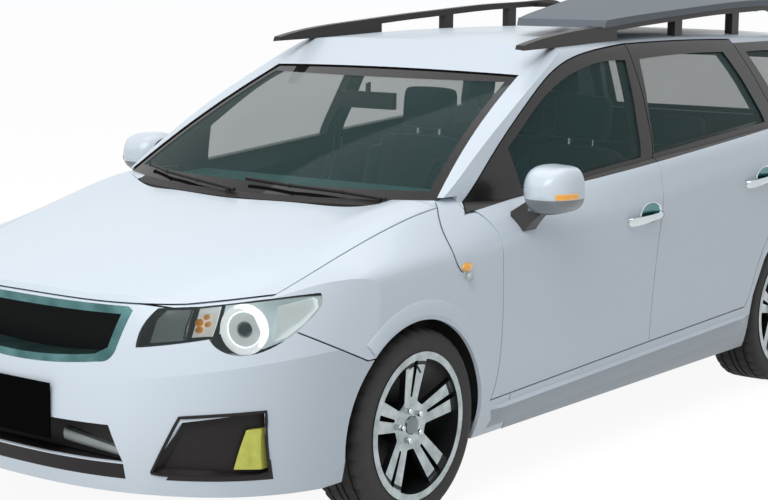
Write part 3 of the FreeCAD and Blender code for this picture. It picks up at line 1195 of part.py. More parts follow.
def front_suspension():
    """The subframe, both lower arms, the strut towers and the steering rack."""
    y = FRONT_AXLE_Y
    foot = Vector(KINGPIN_FOOT_X, y, KINGPIN_FOOT_Z)
    axis = (Vector(KINGPIN_TOP_X, y, KINGPIN_TOP_Z) - foot).normalize()
    arm_z = KINGPIN_FOOT_Z - BALL_RADIUS - ARM_WALL
    tip = KINGPIN_FOOT_X + BALL_RADIUS
    arm = flat_prism([(RAIL_INNER_X, y - ARM_SPREAD), (tip, y - BALL_RADIUS), (tip, y + BALL_RADIUS),
                      (RAIL_INNER_X, y + ARM_SPREAD)], arm_z, arm_z + ARM_WALL)
    arm = arm.cut(flat_prism([(RAIL_OUTER_X, y - ARM_SPREAD / 2), (RAIL_OUTER_X + ARM_SPREAD, y),
                              (RAIL_OUTER_X, y + ARM_SPREAD / 2)], arm_z, arm_z + ARM_WALL))
    boss = rod(foot - axis * (2 * BALL_RADIUS), foot - axis * FIT, BALL_RADIUS)
    frame = box(0, RAIL_OUTER_X, y - ARM_SPREAD, y + ARM_SPREAD, arm_z, arm_z + SUBFRAME_HEIGHT)
    frame = frame.cut(box(0, RAIL_INNER_X - SUBFRAME_HEIGHT, y - ARM_SPREAD / 2, y + ARM_SPREAD / 2, 0,
                          ROOF_HEIGHT))
    posts = [box(RAIL_INNER_X, RAIL_OUTER_X, y0, y0 + ARM_SPREAD / 2, arm_z, RAIL_BOTTOM - FIT)
             for y0 in (y - ARM_SPREAD, y + ARM_SPREAD / 2)]
    rack = rod((0, y + ARM_SPREAD, RACK_HEIGHT), (RAIL_OUTER_X, y + ARM_SPREAD, RACK_HEIGHT), STRUT_RADIUS)
    half = fused([frame, arm, boss, rack] + posts)
    return half.fuse(mirrored(half))


def strut_tower():
    """The shelf over the left strut with its bearing and the wall down to the rail."""
    y = FRONT_AXLE_Y
    reach = SPRING_RADIUS + TOWER_WALL
    foot = Vector(KINGPIN_FOOT_X, y, KINGPIN_FOOT_Z)
    top = Vector(KINGPIN_TOP_X, y, KINGPIN_TOP_Z)
    axis = (top - foot).normalize()
    shelf_z = KINGPIN_TOP_Z + TOWER_WALL
    inner = RAIL_OUTER_X - TOWER_WALL
    shelf = box(inner, KINGPIN_TOP_X + reach, y - reach, y + reach, shelf_z, shelf_z + TOWER_WALL)
    wall = box(inner, RAIL_OUTER_X, y - reach, y + reach, RAIL_BOTTOM, shelf_z + TOWER_WALL)
    bearing = rod(top + axis * FIT, top + axis * (2 * TOWER_WALL), 2 * STRUT_RADIUS)
    return fused([shelf, wall, bearing])


def underbody():
    """Floor with tunnel, firewall, load floor, rails, radiator panel and strut towers."""
    pan = across_prism(band(placed(FLOOR_SHARES), FLOOR_WALL), 0, SILL_INNER_X - FIT)
    start, end = [along(share) for share in TUNNEL_SHARES]
    floor_z = up(FLOOR_SHARES[2][1])
    top = floor_z + TUNNEL_HALF_WIDTH
    pan = pan.fuse(box(0, TUNNEL_HALF_WIDTH, start, end, floor_z, top))
    inside = TUNNEL_HALF_WIDTH - FLOOR_WALL
    pan = pan.cut(box(0, inside, start - FLOOR_WALL, end + FLOOR_WALL, 0, top - FLOOR_WALL))
    front = along(RAIL_START_SHARE)
    rail = box(RAIL_INNER_X, RAIL_OUTER_X, front, along(FIREWALL_SHARE), RAIL_BOTTOM,
               RAIL_BOTTOM + RAIL_HEIGHT)
    post = box(RADIATOR_HALF_WIDTH - FLANGE, RAIL_OUTER_X, front, front + FLANGE, RAIL_BOTTOM,
               RAIL_BOTTOM + RAIL_HEIGHT)
    bottom, lid = [up(share) for share in RADIATOR_SHARES]
    radiator = box(0, RADIATOR_HALF_WIDTH, along(GRILLE_BACK_SHARE) + FIT, front + FLOOR_WALL, bottom, lid)
    rear_start, rear_end = [along(share) for share in REAR_RAIL_SHARES]
    rear_rail = box(RAIL_OUTER_X, RAIL_OUTER_X + FLANGE, rear_start, rear_end, RAIL_BOTTOM,
                    up(LOAD_FLOOR_SHARE))
    half = fused([pan, rail, post, radiator, rear_rail, strut_tower()])
    half = half.cut(arch_cylinder(FRONT_AXLE_Y, FRONT_LINER_RADIUS + FIT, FRONT_LINER_INNER_X - FIT))
    half = half.cut(arch_cylinder(REAR_AXLE_Y, REAR_ARCH_RADIUS, REAR_LINER_INNER_X - FIT))
    return half.fuse(mirrored(half))


def arch_liners(body):
    """Thin liners over all four wheels; the front ones leave room for the strut."""
    front = arch_cylinder(FRONT_AXLE_Y, FRONT_LINER_RADIUS, FRONT_LINER_INNER_X)
    front = front.cut(arch_cylinder(FRONT_AXLE_Y, FRONT_LINER_RADIUS - LINER_WALL,
                                    FRONT_LINER_INNER_X + LINER_WALL))
    front = front.common(box(0, WIDTH, -LENGTH, LENGTH, LINER_BOTTOM, ROOF_HEIGHT))
    front = front.common(body.seat_lower).common(nose_at(SKIN + FIT))
    front = front.cut(box(0, FRONT_LINER_INNER_X + LINER_WALL, -LENGTH, LENGTH, 0, RAIL_BOTTOM + RAIL_HEIGHT))
    foot = Vector(KINGPIN_FOOT_X, FRONT_AXLE_Y, KINGPIN_FOOT_Z)
    top = Vector(KINGPIN_TOP_X, FRONT_AXLE_Y, KINGPIN_TOP_Z)
    front = front.cut(rod(foot, top, SPRING_RADIUS + TOWER_WALL))
    radius = REAR_ARCH_RADIUS - FIT
    rear = arch_cylinder(REAR_AXLE_Y, radius, REAR_LINER_INNER_X)
    rear = rear.cut(arch_cylinder(REAR_AXLE_Y, radius - LINER_WALL, REAR_LINER_INNER_X + LINER_WALL))
    rear = rear.common(box(0, WIDTH, -LENGTH, LENGTH, LINER_BOTTOM, ROOF_HEIGHT)).common(body.skin_lower)
    rear = rear.cut(box(0, REAR_LINER_INNER_X + LINER_WALL, -LENGTH, LENGTH, 0, TYRE_RADIUS + UPRIGHT_WIDTH))
    return Part.makeCompound([both_sides(front), both_sides(rear)])


def rear_axle():
    """A twist beam with its two trailing arms, stub axles, springs and dampers."""
    y = REAR_AXLE_Y
    beam_y = y - AXLE_BEAM_OFFSET
    arm_x = REAR_LINER_INNER_X - 2 * BEAM_RADIUS
    hub_end = WHEEL_OUTER_X - DISC_INSET - RIM_LIP - GAP
    beam = rod((0, beam_y, TYRE_RADIUS), (arm_x, beam_y, TYRE_RADIUS), BEAM_RADIUS)
    arm = box(arm_x - BEAM_RADIUS, arm_x + BEAM_RADIUS, beam_y - AXLE_ARM_LENGTH, y + BEAM_RADIUS,
              TYRE_RADIUS - BEAM_RADIUS, TYRE_RADIUS + BEAM_RADIUS)
    stub = spindle(y, arm_x)
    flange = box(arm_x, hub_end, y - BEAM_RADIUS, y + BEAM_RADIUS, TYRE_RADIUS - BEAM_RADIUS,
                 TYRE_RADIUS + BEAM_RADIUS)
    coil_x = RAIL_OUTER_X + FLANGE / 2
    plate = box(coil_x - SPRING_RADIUS, arm_x, y - 2 * SPRING_RADIUS, y, TYRE_RADIUS - BEAM_RADIUS,
                TYRE_RADIUS - BEAM_RADIUS / 2)
    coil = Part.makeCylinder(SPRING_RADIUS - STEP, RAIL_BOTTOM - FIT - TYRE_RADIUS + BEAM_RADIUS,
                             Vector(coil_x, y - SPRING_RADIUS, TYRE_RADIUS - BEAM_RADIUS))
    damper_x = RAIL_OUTER_X + FLANGE + DAMPER_RADIUS + GAP
    damper = rod((arm_x, y, TYRE_RADIUS), (damper_x, y + DAMPER_LEAN, up(LOAD_FLOOR_SHARE)), DAMPER_RADIUS)
    damper = damper.cut(box(0, WIDTH, -LENGTH, LENGTH, up(LOAD_FLOOR_SHARE) - FLOOR_WALL - FIT, ROOF_HEIGHT))
    pivot = box(arm_x - BEAM_RADIUS, arm_x + BEAM_RADIUS, beam_y - AXLE_ARM_LENGTH,
                beam_y - AXLE_ARM_LENGTH + 2 * BEAM_RADIUS, TYRE_RADIUS,
                up(SEAT_FLOOR_SHARE) - FLOOR_WALL - FIT)
    half = fused([beam, arm, stub, flange, plate, coil, damper, pivot])
    return half.fuse(mirrored(half))


def engine_block():
    """The engine and gearbox as one plain block with the two drive shafts."""
    low, high = ENGINE_SHARES
    block = box(-ENGINE_HALF_WIDTH, ENGINE_HALF_WIDTH, along(low[0]), along(high[0]), up(low[1]), up(high[1]))
    mount_z = RAIL_BOTTOM + FLANGE
    mounts = box(FIT - RAIL_INNER_X, RAIL_INNER_X - FIT, along(low[0]) + FLANGE, along(low[0]) + 3 * FLANGE,
                 mount_z, mount_z + FLANGE)
    shaft = rod((0, FRONT_AXLE_Y, TYRE_RADIUS), (DRIVE_SHAFT_END_X, FRONT_AXLE_Y, TYRE_RADIUS), HUB_BORE / 2)
    boot = Part.makeCone(HUB_BORE / 2, HUB_BORE, HUB_BORE * 2,
                         Vector(DRIVE_SHAFT_END_X - 2 * HUB_BORE, FRONT_AXLE_Y, TYRE_RADIUS),
                         Vector(1, 0, 0))
    return fused([block, mounts, shaft, mirrored(shaft), boot, mirrored(boot)])


def exhaust_and_tank():
    """The fuel tank under the rear seat and the exhaust pipe with its silencer."""
    low, high = TANK_SHARES
    tank = box(4 * EXHAUST_RADIUS, TANK_HALF_WIDTH, along(low[0]), along(high[0]), up(low[1]),
               up(high[1]) - FIT)
    points = [Vector(EXHAUST_OFFSET * x, along(y), up(z)) for x, y, z in EXHAUST_SHARES]
    pipe = [rod(a, b, EXHAUST_RADIUS) for a, b in zip(points, points[1:])]
    pipe += [Part.makeSphere(EXHAUST_RADIUS, point) for point in points[1:-1]]
    start, stop = [along(share) for share in SILENCER_SHARES]
    x, z = points[-1].x, points[-1].z
    wide, deep = 4 * EXHAUST_RADIUS, 2 * EXHAUST_RADIUS
    silencer = box(x - wide, x + wide, start, stop, z - deep, z + deep)
    top = up(LOAD_FLOOR_SHARE) - FLOOR_WALL - FIT
    hanger = box(x - EXHAUST_RADIUS, x + EXHAUST_RADIUS, start + EXHAUST_RADIUS, start + deep, z, top)
    return Part.makeCompound([tank, fused(pipe + [silencer, hanger])])


def dashboard():
    """The dashboard across the cabin with the steering column and the centre console."""
    wall = along(FLOOR_SHARES[0][0]) + COWL_WALL + 2 * FIT
    foot, shoulder = [up(share) for share in DASHBOARD_FOOT_SHARES]
    board = across_prism(placed(DASHBOARD_SHARES), -DASHBOARD_HALF_WIDTH, DASHBOARD_HALF_WIDTH)
    shelf = across_prism([(wall, foot), (wall, shoulder)] + placed(DASHBOARD_FRONT_SHARES),
                         -DASHBOARD_FRONT_HALF_WIDTH, DASHBOARD_FRONT_HALF_WIDTH)
    tunnel_top = up(FLOOR_SHARES[2][1]) + TUNNEL_HALF_WIDTH + FIT
    ridge = placed(CONSOLE_SHARES)
    half = TUNNEL_HALF_WIDTH - FLOOR_WALL
    console = across_prism([(ridge[0][0], tunnel_top)] + ridge + [(ridge[-1][0], tunnel_top)], -half, half)
    start, end = column_ends()
    return fused([board, shelf, console, rod(start, end, 2 * STEERING_WHEEL_TUBE)])


def column_ends():
    return [Vector(SEAT_OFFSET, along(y), up(z)) for y, z in COLUMN_SHARES]


def steering_wheel():
    """The rim, hub and three spokes, square to the column."""
    start, end = column_ends()
    axis = (end - start).normalize()
    centre = end + axis * (STEERING_WHEEL_TUBE * 2 + FIT)
    ring = Part.makeTorus(STEERING_WHEEL_RADIUS, STEERING_WHEEL_TUBE, centre, axis)
    hub = Part.makeCylinder(STEERING_WHEEL_TUBE * 4, STEERING_WHEEL_TUBE * 3, end + axis * FIT, axis)
    side = Vector(1, 0, 0)
    down = axis.cross(side)
    if down.z > 0:
        down = down * -1
    spokes = []
    for way in (side, side * -1, down):
        spokes.append(rod(centre, centre + way * STEERING_WHEEL_RADIUS, STEERING_SPOKE_RADIUS))
    return fused([ring, hub] + spokes)


def seat(centre_x):
    """One front seat: cushion, leaning back and headrest in one piece."""
    half = SEAT_WIDTH / 2
    shell = across_prism(placed(SEAT_SHARES), centre_x - half, centre_x + half)
    head = across_prism(placed(HEADREST_SHARES), centre_x - HEADREST_WIDTH / 2, centre_x + HEADREST_WIDTH / 2)
    return shell.fuse(head)


def front_seats():
    return both_sides(seat(SEAT_OFFSET))


def seat_frames():
    """The runners and frames that carry the front seats on the floor."""
    half = SEAT_WIDTH / 2 - FLANGE
    start, end = [along(share) for share in SEAT_FRAME_SHARES]
    top = up(SEAT_SHARES[0][1]) - FIT
    frame = box(SEAT_OFFSET - half, SEAT_OFFSET + half, start, end, up(FLOOR_SHARES[2][1]) + FIT, top)
    return both_sides(frame)


def rear_seat():
    """The bench with its back across the cabin."""
    floor_z = up(SEAT_FLOOR_SHARE) + FIT
    foot = [(along(share), floor_z) for share in REAR_SEAT_FOOT_SHARES]
    return across_prism(placed(REAR_SEAT_SHARES) + foot, -REAR_SEAT_HALF_WIDTH, REAR_SEAT_HALF_WIDTH)


def cabin_mirror():
    """The mirror under the top of the windscreen, on its stem."""
    plate = across_prism(placed(CABIN_MIRROR_SHARES), -MIRROR_PLATE_HALF_WIDTH, MIRROR_PLATE_HALF_WIDTH)
    stem = across_prism(placed(CABIN_MIRROR_STEM_SHARES), -WIPER_RADIUS, WIPER_RADIUS)
    return plate.fuse(stem.common(screen_solid(GLASS_INSET + GLASS + FIT)))


def roof_rails():
    """A rail on each side of the roof, with its feet down to the skin, and a bar across from rail to rail."""
    left = side_prism(ROOF_RAIL_OUTLINE_SHARES, 0.0, RAIL_X - RAIL_WIDTH / 2, RAIL_X + RAIL_WIDTH / 2)
    for start, end, top in ROOF_RAIL_FEET_SHARES:
        left = left.fuse(box(RAIL_X - RAIL_WIDTH / 2, RAIL_X + RAIL_WIDTH / 2, along(start), along(end),
                             up(ROOF_RAIL_FOOT_SHARE), up(top)))
    left = left.cut(lengthwise_solid(UPPER_SHARES, upper_section, -FIT))
    start, end, low, high = CROSS_BAR_SHARES
    return both_sides(left).fuse(box(-RAIL_X, RAIL_X, along(start), along(end), up(low), up(high)))


def roof_panel():
    """The flat panel that lies on the left rail and the bar, with a slanting far edge."""
    panel = side_prism(ROOF_PANEL_OUTLINE_SHARES, 0.0, -ROOF_PANEL_HALF_WIDTH, ROOF_PANEL_HALF_WIDTH)
    slant = [(across(x), along(y)) for x, y in ROOF_PANEL_SLANT_SHARES]
    beyond = [(-WIDTH, y) for x, y in reversed(slant)]
    panel = panel.cut(flat_prism(slant + beyond, 0, 2 * ROOF_HEIGHT))
    return panel.cut(side_prism(ROOF_RAIL_OUTLINE_SHARES, FIT, RAIL_X - RAIL_WIDTH, RAIL_X + RAIL_WIDTH))


def number_plate(y0, height_share):
    """A blank plate with its back at y0 or its front at y0 less its wall."""
    return box(-PLATE_WIDTH / 2, PLATE_WIDTH / 2, y0, y0 + PLATE_WALL, up(height_share),
               up(height_share) + PLATE_HEIGHT)


DOOR_OUTLINES = [(FRONT_DOOR_OUTLINE_SHARES, FRONT_DOOR_CORE_OUTLINE_SHARES),
                 (REAR_DOOR_OUTLINE_SHARES, REAR_DOOR_OUTLINE_SHARES)]


def left_and_right(name, left):
    return {name + "_left": left, name + "_right": mirrored(left)}


def build():
    """Every piece of the car by its node's name."""
    body = Body()
    nodes = {
        "underbody": underbody(), "roof": roof(body), "cowl": cowl(body), "bonnet": bonnet(body),
        "front_fenders": front_fenders(body), "front_bumper": front_bumper(body), "grille": grille(body),
        "lower_grille": lower_grille(body), "front_lamps": front_lamps(body),
        "rear_bumper": rear_bumper(body),
        "tail_lamps": tail_lamps(body), "fixed_windows": fixed_windows(body), "tailgate": tailgate(body),
        "tailgate_glass": tailgate_glass(), "arch_liners": arch_liners(body), "roof_rails": roof_rails(),
        "roof_panel": roof_panel(), "dashboard": dashboard(), "steering_wheel": steering_wheel(),
        "front_seats": front_seats(), "seat_frames": seat_frames(), "rear_seat": rear_seat(),
        "cabin_mirror": cabin_mirror(), "engine_block": engine_block(),
        "front_suspension": front_suspension(),
        "rear_axle": rear_axle(), "exhaust_and_tank": exhaust_and_tank(),
        "front_plate": number_plate(NOSE - PLATE_WALL - 4 * FIT, PLATE_HEIGHT_SHARES[0]),
        "rear_plate": number_plate(rear_plate_y(), PLATE_HEIGHT_SHARES[1]),
    }
    nodes.update(left_and_right("body_side", body_side(body)))
    windows = (FRONT_WINDOW_OUTLINE_SHARES, REAR_WINDOW_OUTLINE_SHARES)
    for place, (runs, core_runs), window in zip(("front", "rear"), DOOR_OUTLINES, windows):
        nodes.update(left_and_right(place + "_door", door(body, runs, core_runs, window)))
    nodes.update(left_and_right("front_door_glass", side_glass(body, FRONT_WINDOW_OUTLINE_SHARES)))
    nodes.update(left_and_right("rear_door_glass", side_glass(body, REAR_WINDOW_OUTLINE_SHARES)))
    nodes.update(left_and_right("door_mirror", door_mirror(body)))
    nodes.update(left_and_right("knuckle", knuckle()))
    for place, y in (("front", FRONT_AXLE_Y), ("rear", REAR_AXLE_Y)):
        nodes.update(left_and_right(place + "_tyre", tyre(y)))
        nodes.update(left_and_right(place + "_rim", rim(y)))
    return nodes


def rear_plate_y():
    """The tail's surface at the height of the rear plate's lower edge."""
    heights = [share for share, lean in TAIL_LEAN_SHARES]
    target = PLATE_HEIGHT_SHARES[1]
    index = max(k for k, share in enumerate(heights) if share <= target)
    (z0, lean0), (z1, lean1) = TAIL_LEAN_SHARES[index:index + 2]
    lean = lean0 + (lean1 - lean0) * (target - z0) / (z1 - z0)
    return TAIL - lean * LENGTH + FIT + GLASS


if __name__ == "__main__":
    os.makedirs("parts", exist_ok=True)
    for name, shape in build().items():
        shape.exportStep("parts/" + name + ".step")
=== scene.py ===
import json
import math

import bmesh
import bpy
from mathutils import Matrix, Vector
from mathutils.bvhtree import BVHTree

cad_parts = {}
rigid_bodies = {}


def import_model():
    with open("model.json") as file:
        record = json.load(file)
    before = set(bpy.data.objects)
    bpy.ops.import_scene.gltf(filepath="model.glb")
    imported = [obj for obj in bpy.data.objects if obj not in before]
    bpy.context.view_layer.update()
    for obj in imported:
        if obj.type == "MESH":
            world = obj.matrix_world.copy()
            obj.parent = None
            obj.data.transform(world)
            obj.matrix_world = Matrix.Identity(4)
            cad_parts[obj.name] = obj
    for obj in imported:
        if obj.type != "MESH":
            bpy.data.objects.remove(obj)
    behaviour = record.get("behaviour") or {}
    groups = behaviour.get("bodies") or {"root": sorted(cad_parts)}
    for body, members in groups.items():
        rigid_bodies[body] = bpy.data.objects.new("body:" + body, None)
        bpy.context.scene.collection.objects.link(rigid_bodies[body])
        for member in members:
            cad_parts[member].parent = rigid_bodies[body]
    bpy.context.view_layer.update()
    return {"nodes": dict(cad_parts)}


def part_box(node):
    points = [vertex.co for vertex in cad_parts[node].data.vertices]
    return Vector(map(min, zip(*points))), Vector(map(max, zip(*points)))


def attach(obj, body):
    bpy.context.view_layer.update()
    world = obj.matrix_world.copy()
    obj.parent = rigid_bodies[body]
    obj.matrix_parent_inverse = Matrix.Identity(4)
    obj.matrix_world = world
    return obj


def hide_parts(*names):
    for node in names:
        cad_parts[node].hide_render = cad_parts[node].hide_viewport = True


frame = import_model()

NODES = frame["nodes"]

# Lengths that several pieces share, in metres. The belt is the line under the side windows: its place
# behind the front axle and height where it starts, and its rise along the car.
FRONT_AXLE_Y = -1.307
REAR_AXLE_Y = 1.313
WHEEL_X = 0.7275
WHEEL_Z = 0.308
BELT_START = (0.336, 0.935)
BELT_SLOPE = 0.0661
SIDES = {"left": 1, "right": -1}
# How far from the middle a ray starts that looks for a face
OUTSIDE = 2.0


def at(yf):
    """A distance behind the front axle as a place along Y."""
    return yf + FRONT_AXLE_Y


def blend(ends, share):
    return ends[0] + (ends[1] - ends[0]) * share


def link(name, data):
    """A new object in the scene."""
    thing = bpy.data.objects.new(name, data)
    bpy.context.scene.collection.objects.link(thing)
    return thing


# The picture's camera: its place in metres, angles in degrees, and focal length and width in pixels
CAMERA_PLACE = Vector((4.1022, -5.8142, 1.7071))
YAW, PITCH, ROLL = (math.radians(a) for a in (37.157, 8.614, 0.477))
FOCAL_PX = 1834.59
IMAGE_WIDTH = 768
SENSOR_MM = 36.0


def set_camera():
    forward = Vector((-math.sin(YAW) * math.cos(PITCH), math.cos(YAW) * math.cos(PITCH), -math.sin(PITCH)))
    level = Vector((math.cos(YAW), math.sin(YAW), 0))
    rise = level.cross(forward)
    right = level * math.cos(ROLL) + rise * math.sin(ROLL)
    top = rise * math.cos(ROLL) - level * math.sin(ROLL)
    data = bpy.data.cameras.new("camera")
    data.sensor_width = SENSOR_MM
    data.sensor_fit = "HORIZONTAL"
    data.lens = FOCAL_PX / IMAGE_WIDTH * SENSOR_MM
    data.clip_end = 200
    camera = link("camera", data)
    turn = Matrix((right, top, -forward)).transposed()
    camera.matrix_world = Matrix.Translation(CAMERA_PLACE) @ turn.to_4x4()
    bpy.context.scene.camera = camera


def add_light(name, place, target, size, power, colour):
    data = bpy.data.lights.new(name, "AREA")
    data.shape = "RECTANGLE"
    data.size, data.size_y = size
    data.energy = power
    data.color = colour
    lamp = link(name, data)
    lamp.location = place
    lamp.rotation_euler = (Vector(target) - Vector(place)).to_track_quat("-Z", "Y").to_euler()


class Graph:
    """A short way to write the nodes of a material or world."""

    def __init__(self, owner, output):
        owner.use_nodes = True
        self.tree = owner.node_tree
        self.tree.nodes.clear()
        self.output = self.add(output)
        self.shader = None

    def add(self, kind, **values):
        node = self.tree.nodes.new(kind)
        for key, value in values.items():
            setattr(node, key, value)
        return node

    def put(self, value, socket):
        if isinstance(value, bpy.types.NodeSocket):
            self.tree.links.new(value, socket)
        else:
            socket.default_value = value

    def set(self, name, value):
        """A value or a socket for the shader's input of that name."""
        self.put(value, self.shader.inputs[name])

    def math(self, operation, a, b=0.0, clamp=False):
        node = self.add("ShaderNodeMath", operation=operation, use_clamp=clamp)
        self.put(a, node.inputs[0])
        self.put(b, node.inputs[1])
        return node.outputs[0]

    def plus(self, a, b):
        return self.math("ADD", a, b)

    def minus(self, a, b, clamp=False):
        return self.math("SUBTRACT", a, b, clamp)

    def times(self, a, b, clamp=False):
        return self.math("MULTIPLY", a, b, clamp)

    def absolute(self, a):
        return self.math("ABSOLUTE", a)

    def mix(self, factor, a, b):
        node = self.add("ShaderNodeMix", data_type="RGBA")
        self.put(factor, node.inputs[0])
        self.put(a, node.inputs[6])
        self.put(b, node.inputs[7])
        return node.outputs[2]

    def mix_value(self, factor, a, b):
        node = self.add("ShaderNodeMix", data_type="FLOAT")
        self.put(factor, node.inputs[0])
        self.put(a, node.inputs[2])
        self.put(b, node.inputs[3])
        return node.outputs[0]

    def split(self, kind):
        """One of the object's coordinates, whole and as its three parts."""
        whole = self.add("ShaderNodeTexCoord").outputs[kind]
        parts = self.add("ShaderNodeSeparateXYZ")
        self.put(whole, parts.inputs[0])
        return whole, parts.outputs[0], parts.outputs[1], parts.outputs[2]

    def place(self):
        """The point on the object, whole and as lengths X, Y and Z."""
        return self.split("Object")

    def normal(self):
        """The face's direction as X, Y and Z."""
        return self.split("Normal")[1:]

    def noise(self, point, scale, detail=3.0, rough=0.5):
        node = self.add("ShaderNodeTexNoise")
        self.put(point, node.inputs["Vector"])
        node.inputs["Scale"].default_value = scale
        node.inputs["Detail"].default_value = detail
        node.inputs["Roughness"].default_value = rough
        return node.outputs[0]

    def bump(self, height, strength, distance):
        """The shader's normal, roughened by a height."""
        node = self.add("ShaderNodeBump")
        self.put(height, node.inputs["Height"])
        node.inputs["Strength"].default_value = strength
        node.inputs["Distance"].default_value = distance
        self.set("Normal", node.outputs[0])

    def above(self, a, b):
        return self.math("GREATER_THAN", a, b)

    def below(self, a, b):
        return self.math("LESS_THAN", a, b)

    def both(self, *masks):
        total = masks[0]
        for mask in masks[1:]:
            total = self.times(total, mask)
        return total

    def within(self, a, ends):
        return self.both(self.above(a, ends[0]), self.below(a, ends[1]))

    def either(self, a, b):
        return self.math("MAXIMUM", a, b)


def rgb(red, green, blue):
    """A colour as it is seen, 0 to 255, made linear."""
    shares = [value / 255.0 for value in (red, green, blue)]
    return tuple(s / 12.92 if s < 0.04045 else ((s + 0.055) / 1.055) ** 2.4 for s in shares) + (1,)


def tinted(colour, factor):
    """A colour made darker or lighter."""
    return tuple(min(1, c * factor) for c in colour[:3]) + (1,)


PAINT = (0.70, 0.79, 0.88, 1)
BLACK = rgb(25, 21, 21)


def new_material(name):
    material = bpy.data.materials.new(name)
    graph = Graph(material, "ShaderNodeOutputMaterial")
    graph.shader = graph.add("ShaderNodeBsdfPrincipled")
    graph.put(graph.shader.outputs[0], graph.output.inputs[0])
    return material, graph


def plain(name, colour, rough=0.5, metal=0.0, grain=60.0, vary=0.08, bump=0.1, depth=0.0006, coat=0.0,
          spread=0.08, gloss=0.5, glow=0.0):
    """A material with a cloudy colour, uneven gloss and a fine grain; glow makes it give light of its own
    colour: a lamp's own light, or painted light that brightens parts behind a lens which too little light
    reaches.
    """
    material, graph = new_material(name)
    point = graph.place()[0]
    cloud = graph.noise(point, 3.0, 4.0)
    tone = graph.mix(cloud, tinted(colour, 1 - vary), tinted(colour, 1 + vary))
    graph.set("Base Color", tone)
    if glow:
        graph.set("Emission Color", tone)
        graph.set("Emission Strength", glow)
    graph.set("Roughness", graph.mix_value(cloud, max(0.02, rough - spread), min(1, rough + spread)))
    graph.set("Metallic", metal)
    graph.set("Specular IOR Level", gloss)
    graph.set("Coat Weight", coat)
    graph.set("Coat Roughness", 0.06)
    if bump:
        graph.bump(graph.noise(point, grain, 2.0), bump, depth)
    return material


# Where the paint changes, in metres: the top of the grime, the lower edge of the trim inside the doors, the
# sill's crease (height at the front axle, rise along the car), below which shade is painted on the sides, and
# the bumper's crease (height in the middle, bend), below which painted shade starts at a width
GRIME_TOP = 0.42
DOOR_TRIM_BOTTOM = 0.30
SKIRT_HEIGHT, SKIRT_SLOPE = 0.278, 0.0259
BUMPER_CREASE, BUMPER_CREASE_BEND, BUMPER_SHADE_START = 0.525, 0.13, 0.40


def paint(name, zones=None, inner=True):
    """Pale pearl paint. zones gives the mask of the black part, and for the sides and the bumper also brings
    painted shade below their creases; inner marks the trim on the inside faces.
    """
    material, graph = new_material(name)
    point, x, y, z = graph.place()
    nx, ny, nz = graph.normal()
    cloud = graph.noise(point, 1.4, 3.0)
    colour = graph.mix(cloud, tinted(PAINT, 0.975), PAINT)
    low = graph.minus(1.0, graph.math("DIVIDE", z, GRIME_TOP), clamp=True)
    grime = graph.times(low, graph.noise(point, 9.0, 5.0))
    colour = graph.mix(graph.times(grime, 0.22), colour, rgb(120, 118, 112))
    rough = graph.mix_value(cloud, 0.26, 0.34)
    if inner:
        inward = graph.times(nx, graph.math("SIGN", x))
        mask = graph.both(graph.below(inward, -0.35), graph.above(z, DOOR_TRIM_BOTTOM))
        if inner == "down":
            mask = graph.below(nz, -0.2)
        if inner == "front":
            mask = graph.below(ny, -0.3)
        colour = graph.mix(mask, colour, rgb(96, 100, 102) if inner == "down" else rgb(58, 60, 62))
        rough = graph.mix_value(mask, rough, 0.75)
    # Painted shade: below the sill's crease the paint is darkened half way to a blue grey, for the shade on the
    # sill that leans inward.
    if zones is side_zones:
        crease = graph.plus(graph.times(graph.minus(y, at(0)), SKIRT_SLOPE), SKIRT_HEIGHT)
        colour = graph.mix(graph.times(graph.below(z, crease), 0.5), colour, rgb(84, 100, 110))
    # Painted shade: below the bumper's crease the paint turns blue grey, more so beyond BUMPER_SHADE_START
    # towards the sides, for the shade on the lower bumper.
    if zones is bumper_zones:
        wide = graph.absolute(x)
        crease = graph.plus(graph.times(graph.times(wide, wide), BUMPER_CREASE_BEND), BUMPER_CREASE)
        shade = graph.times(graph.minus(wide, BUMPER_SHADE_START), 0.9, clamp=True)
        colour = graph.mix(graph.times(graph.below(z, crease), shade), colour, rgb(150, 164, 175))
    if zones:
        mask = zones(graph, x, y, z)
        colour = graph.mix(mask, colour, BLACK)
        rough = graph.mix_value(mask, rough, 0.32)
    graph.set("Base Color", colour)
    graph.set("Roughness", rough)
    graph.set("Specular IOR Level", 0.3)
    graph.set("Coat Weight", 0.15)
    graph.set("Coat Roughness", 0.08)
    graph.bump(graph.noise(point, 260.0, 2.0), 0.03, 0.0004)
    return material


def belt_height(graph, y):
    behind = graph.minus(y, at(BELT_START[0]))
    return graph.plus(graph.times(behind, BELT_SLOPE), BELT_START[1])


def door_zones(graph, x, y, z):
    return graph.above(z, belt_height(graph, y))


# The black band behind the rear door: its start and end behind the front axle at BAND_MIDDLE's height, how
# its end leans forward with the height, and its top
BAND_START, BAND_END, BAND_LEAN, BAND_MIDDLE, BAND_TOP = 2.30, 3.33, 0.42, 1.10, 1.428


def side_zones(graph, x, y, z):
    end = graph.minus(at(BAND_END), graph.times(graph.minus(z, BAND_MIDDLE), BAND_LEAN))
    high = graph.within(z, (belt_height(graph, y), BAND_TOP))
    return graph.both(high, graph.within(y, (at(BAND_START), end)))


# The fog lamp's recess: its middle in X and its reach from there, and its bottom and top. The bumper's skin
# round it: its place behind the front axle at that middle, slope and bend, and the depth where walls start.
FOG_X, FOG_REACH, FOG_HEIGHTS = 0.57, (-0.115, 0.174), (0.255, 0.475)
FOG_SKIN_PLACE, FOG_SKIN_SLOPE, FOG_SKIN_BEND, FOG_WALL_DEPTH = -0.785, 0.519, 2.74, 0.005


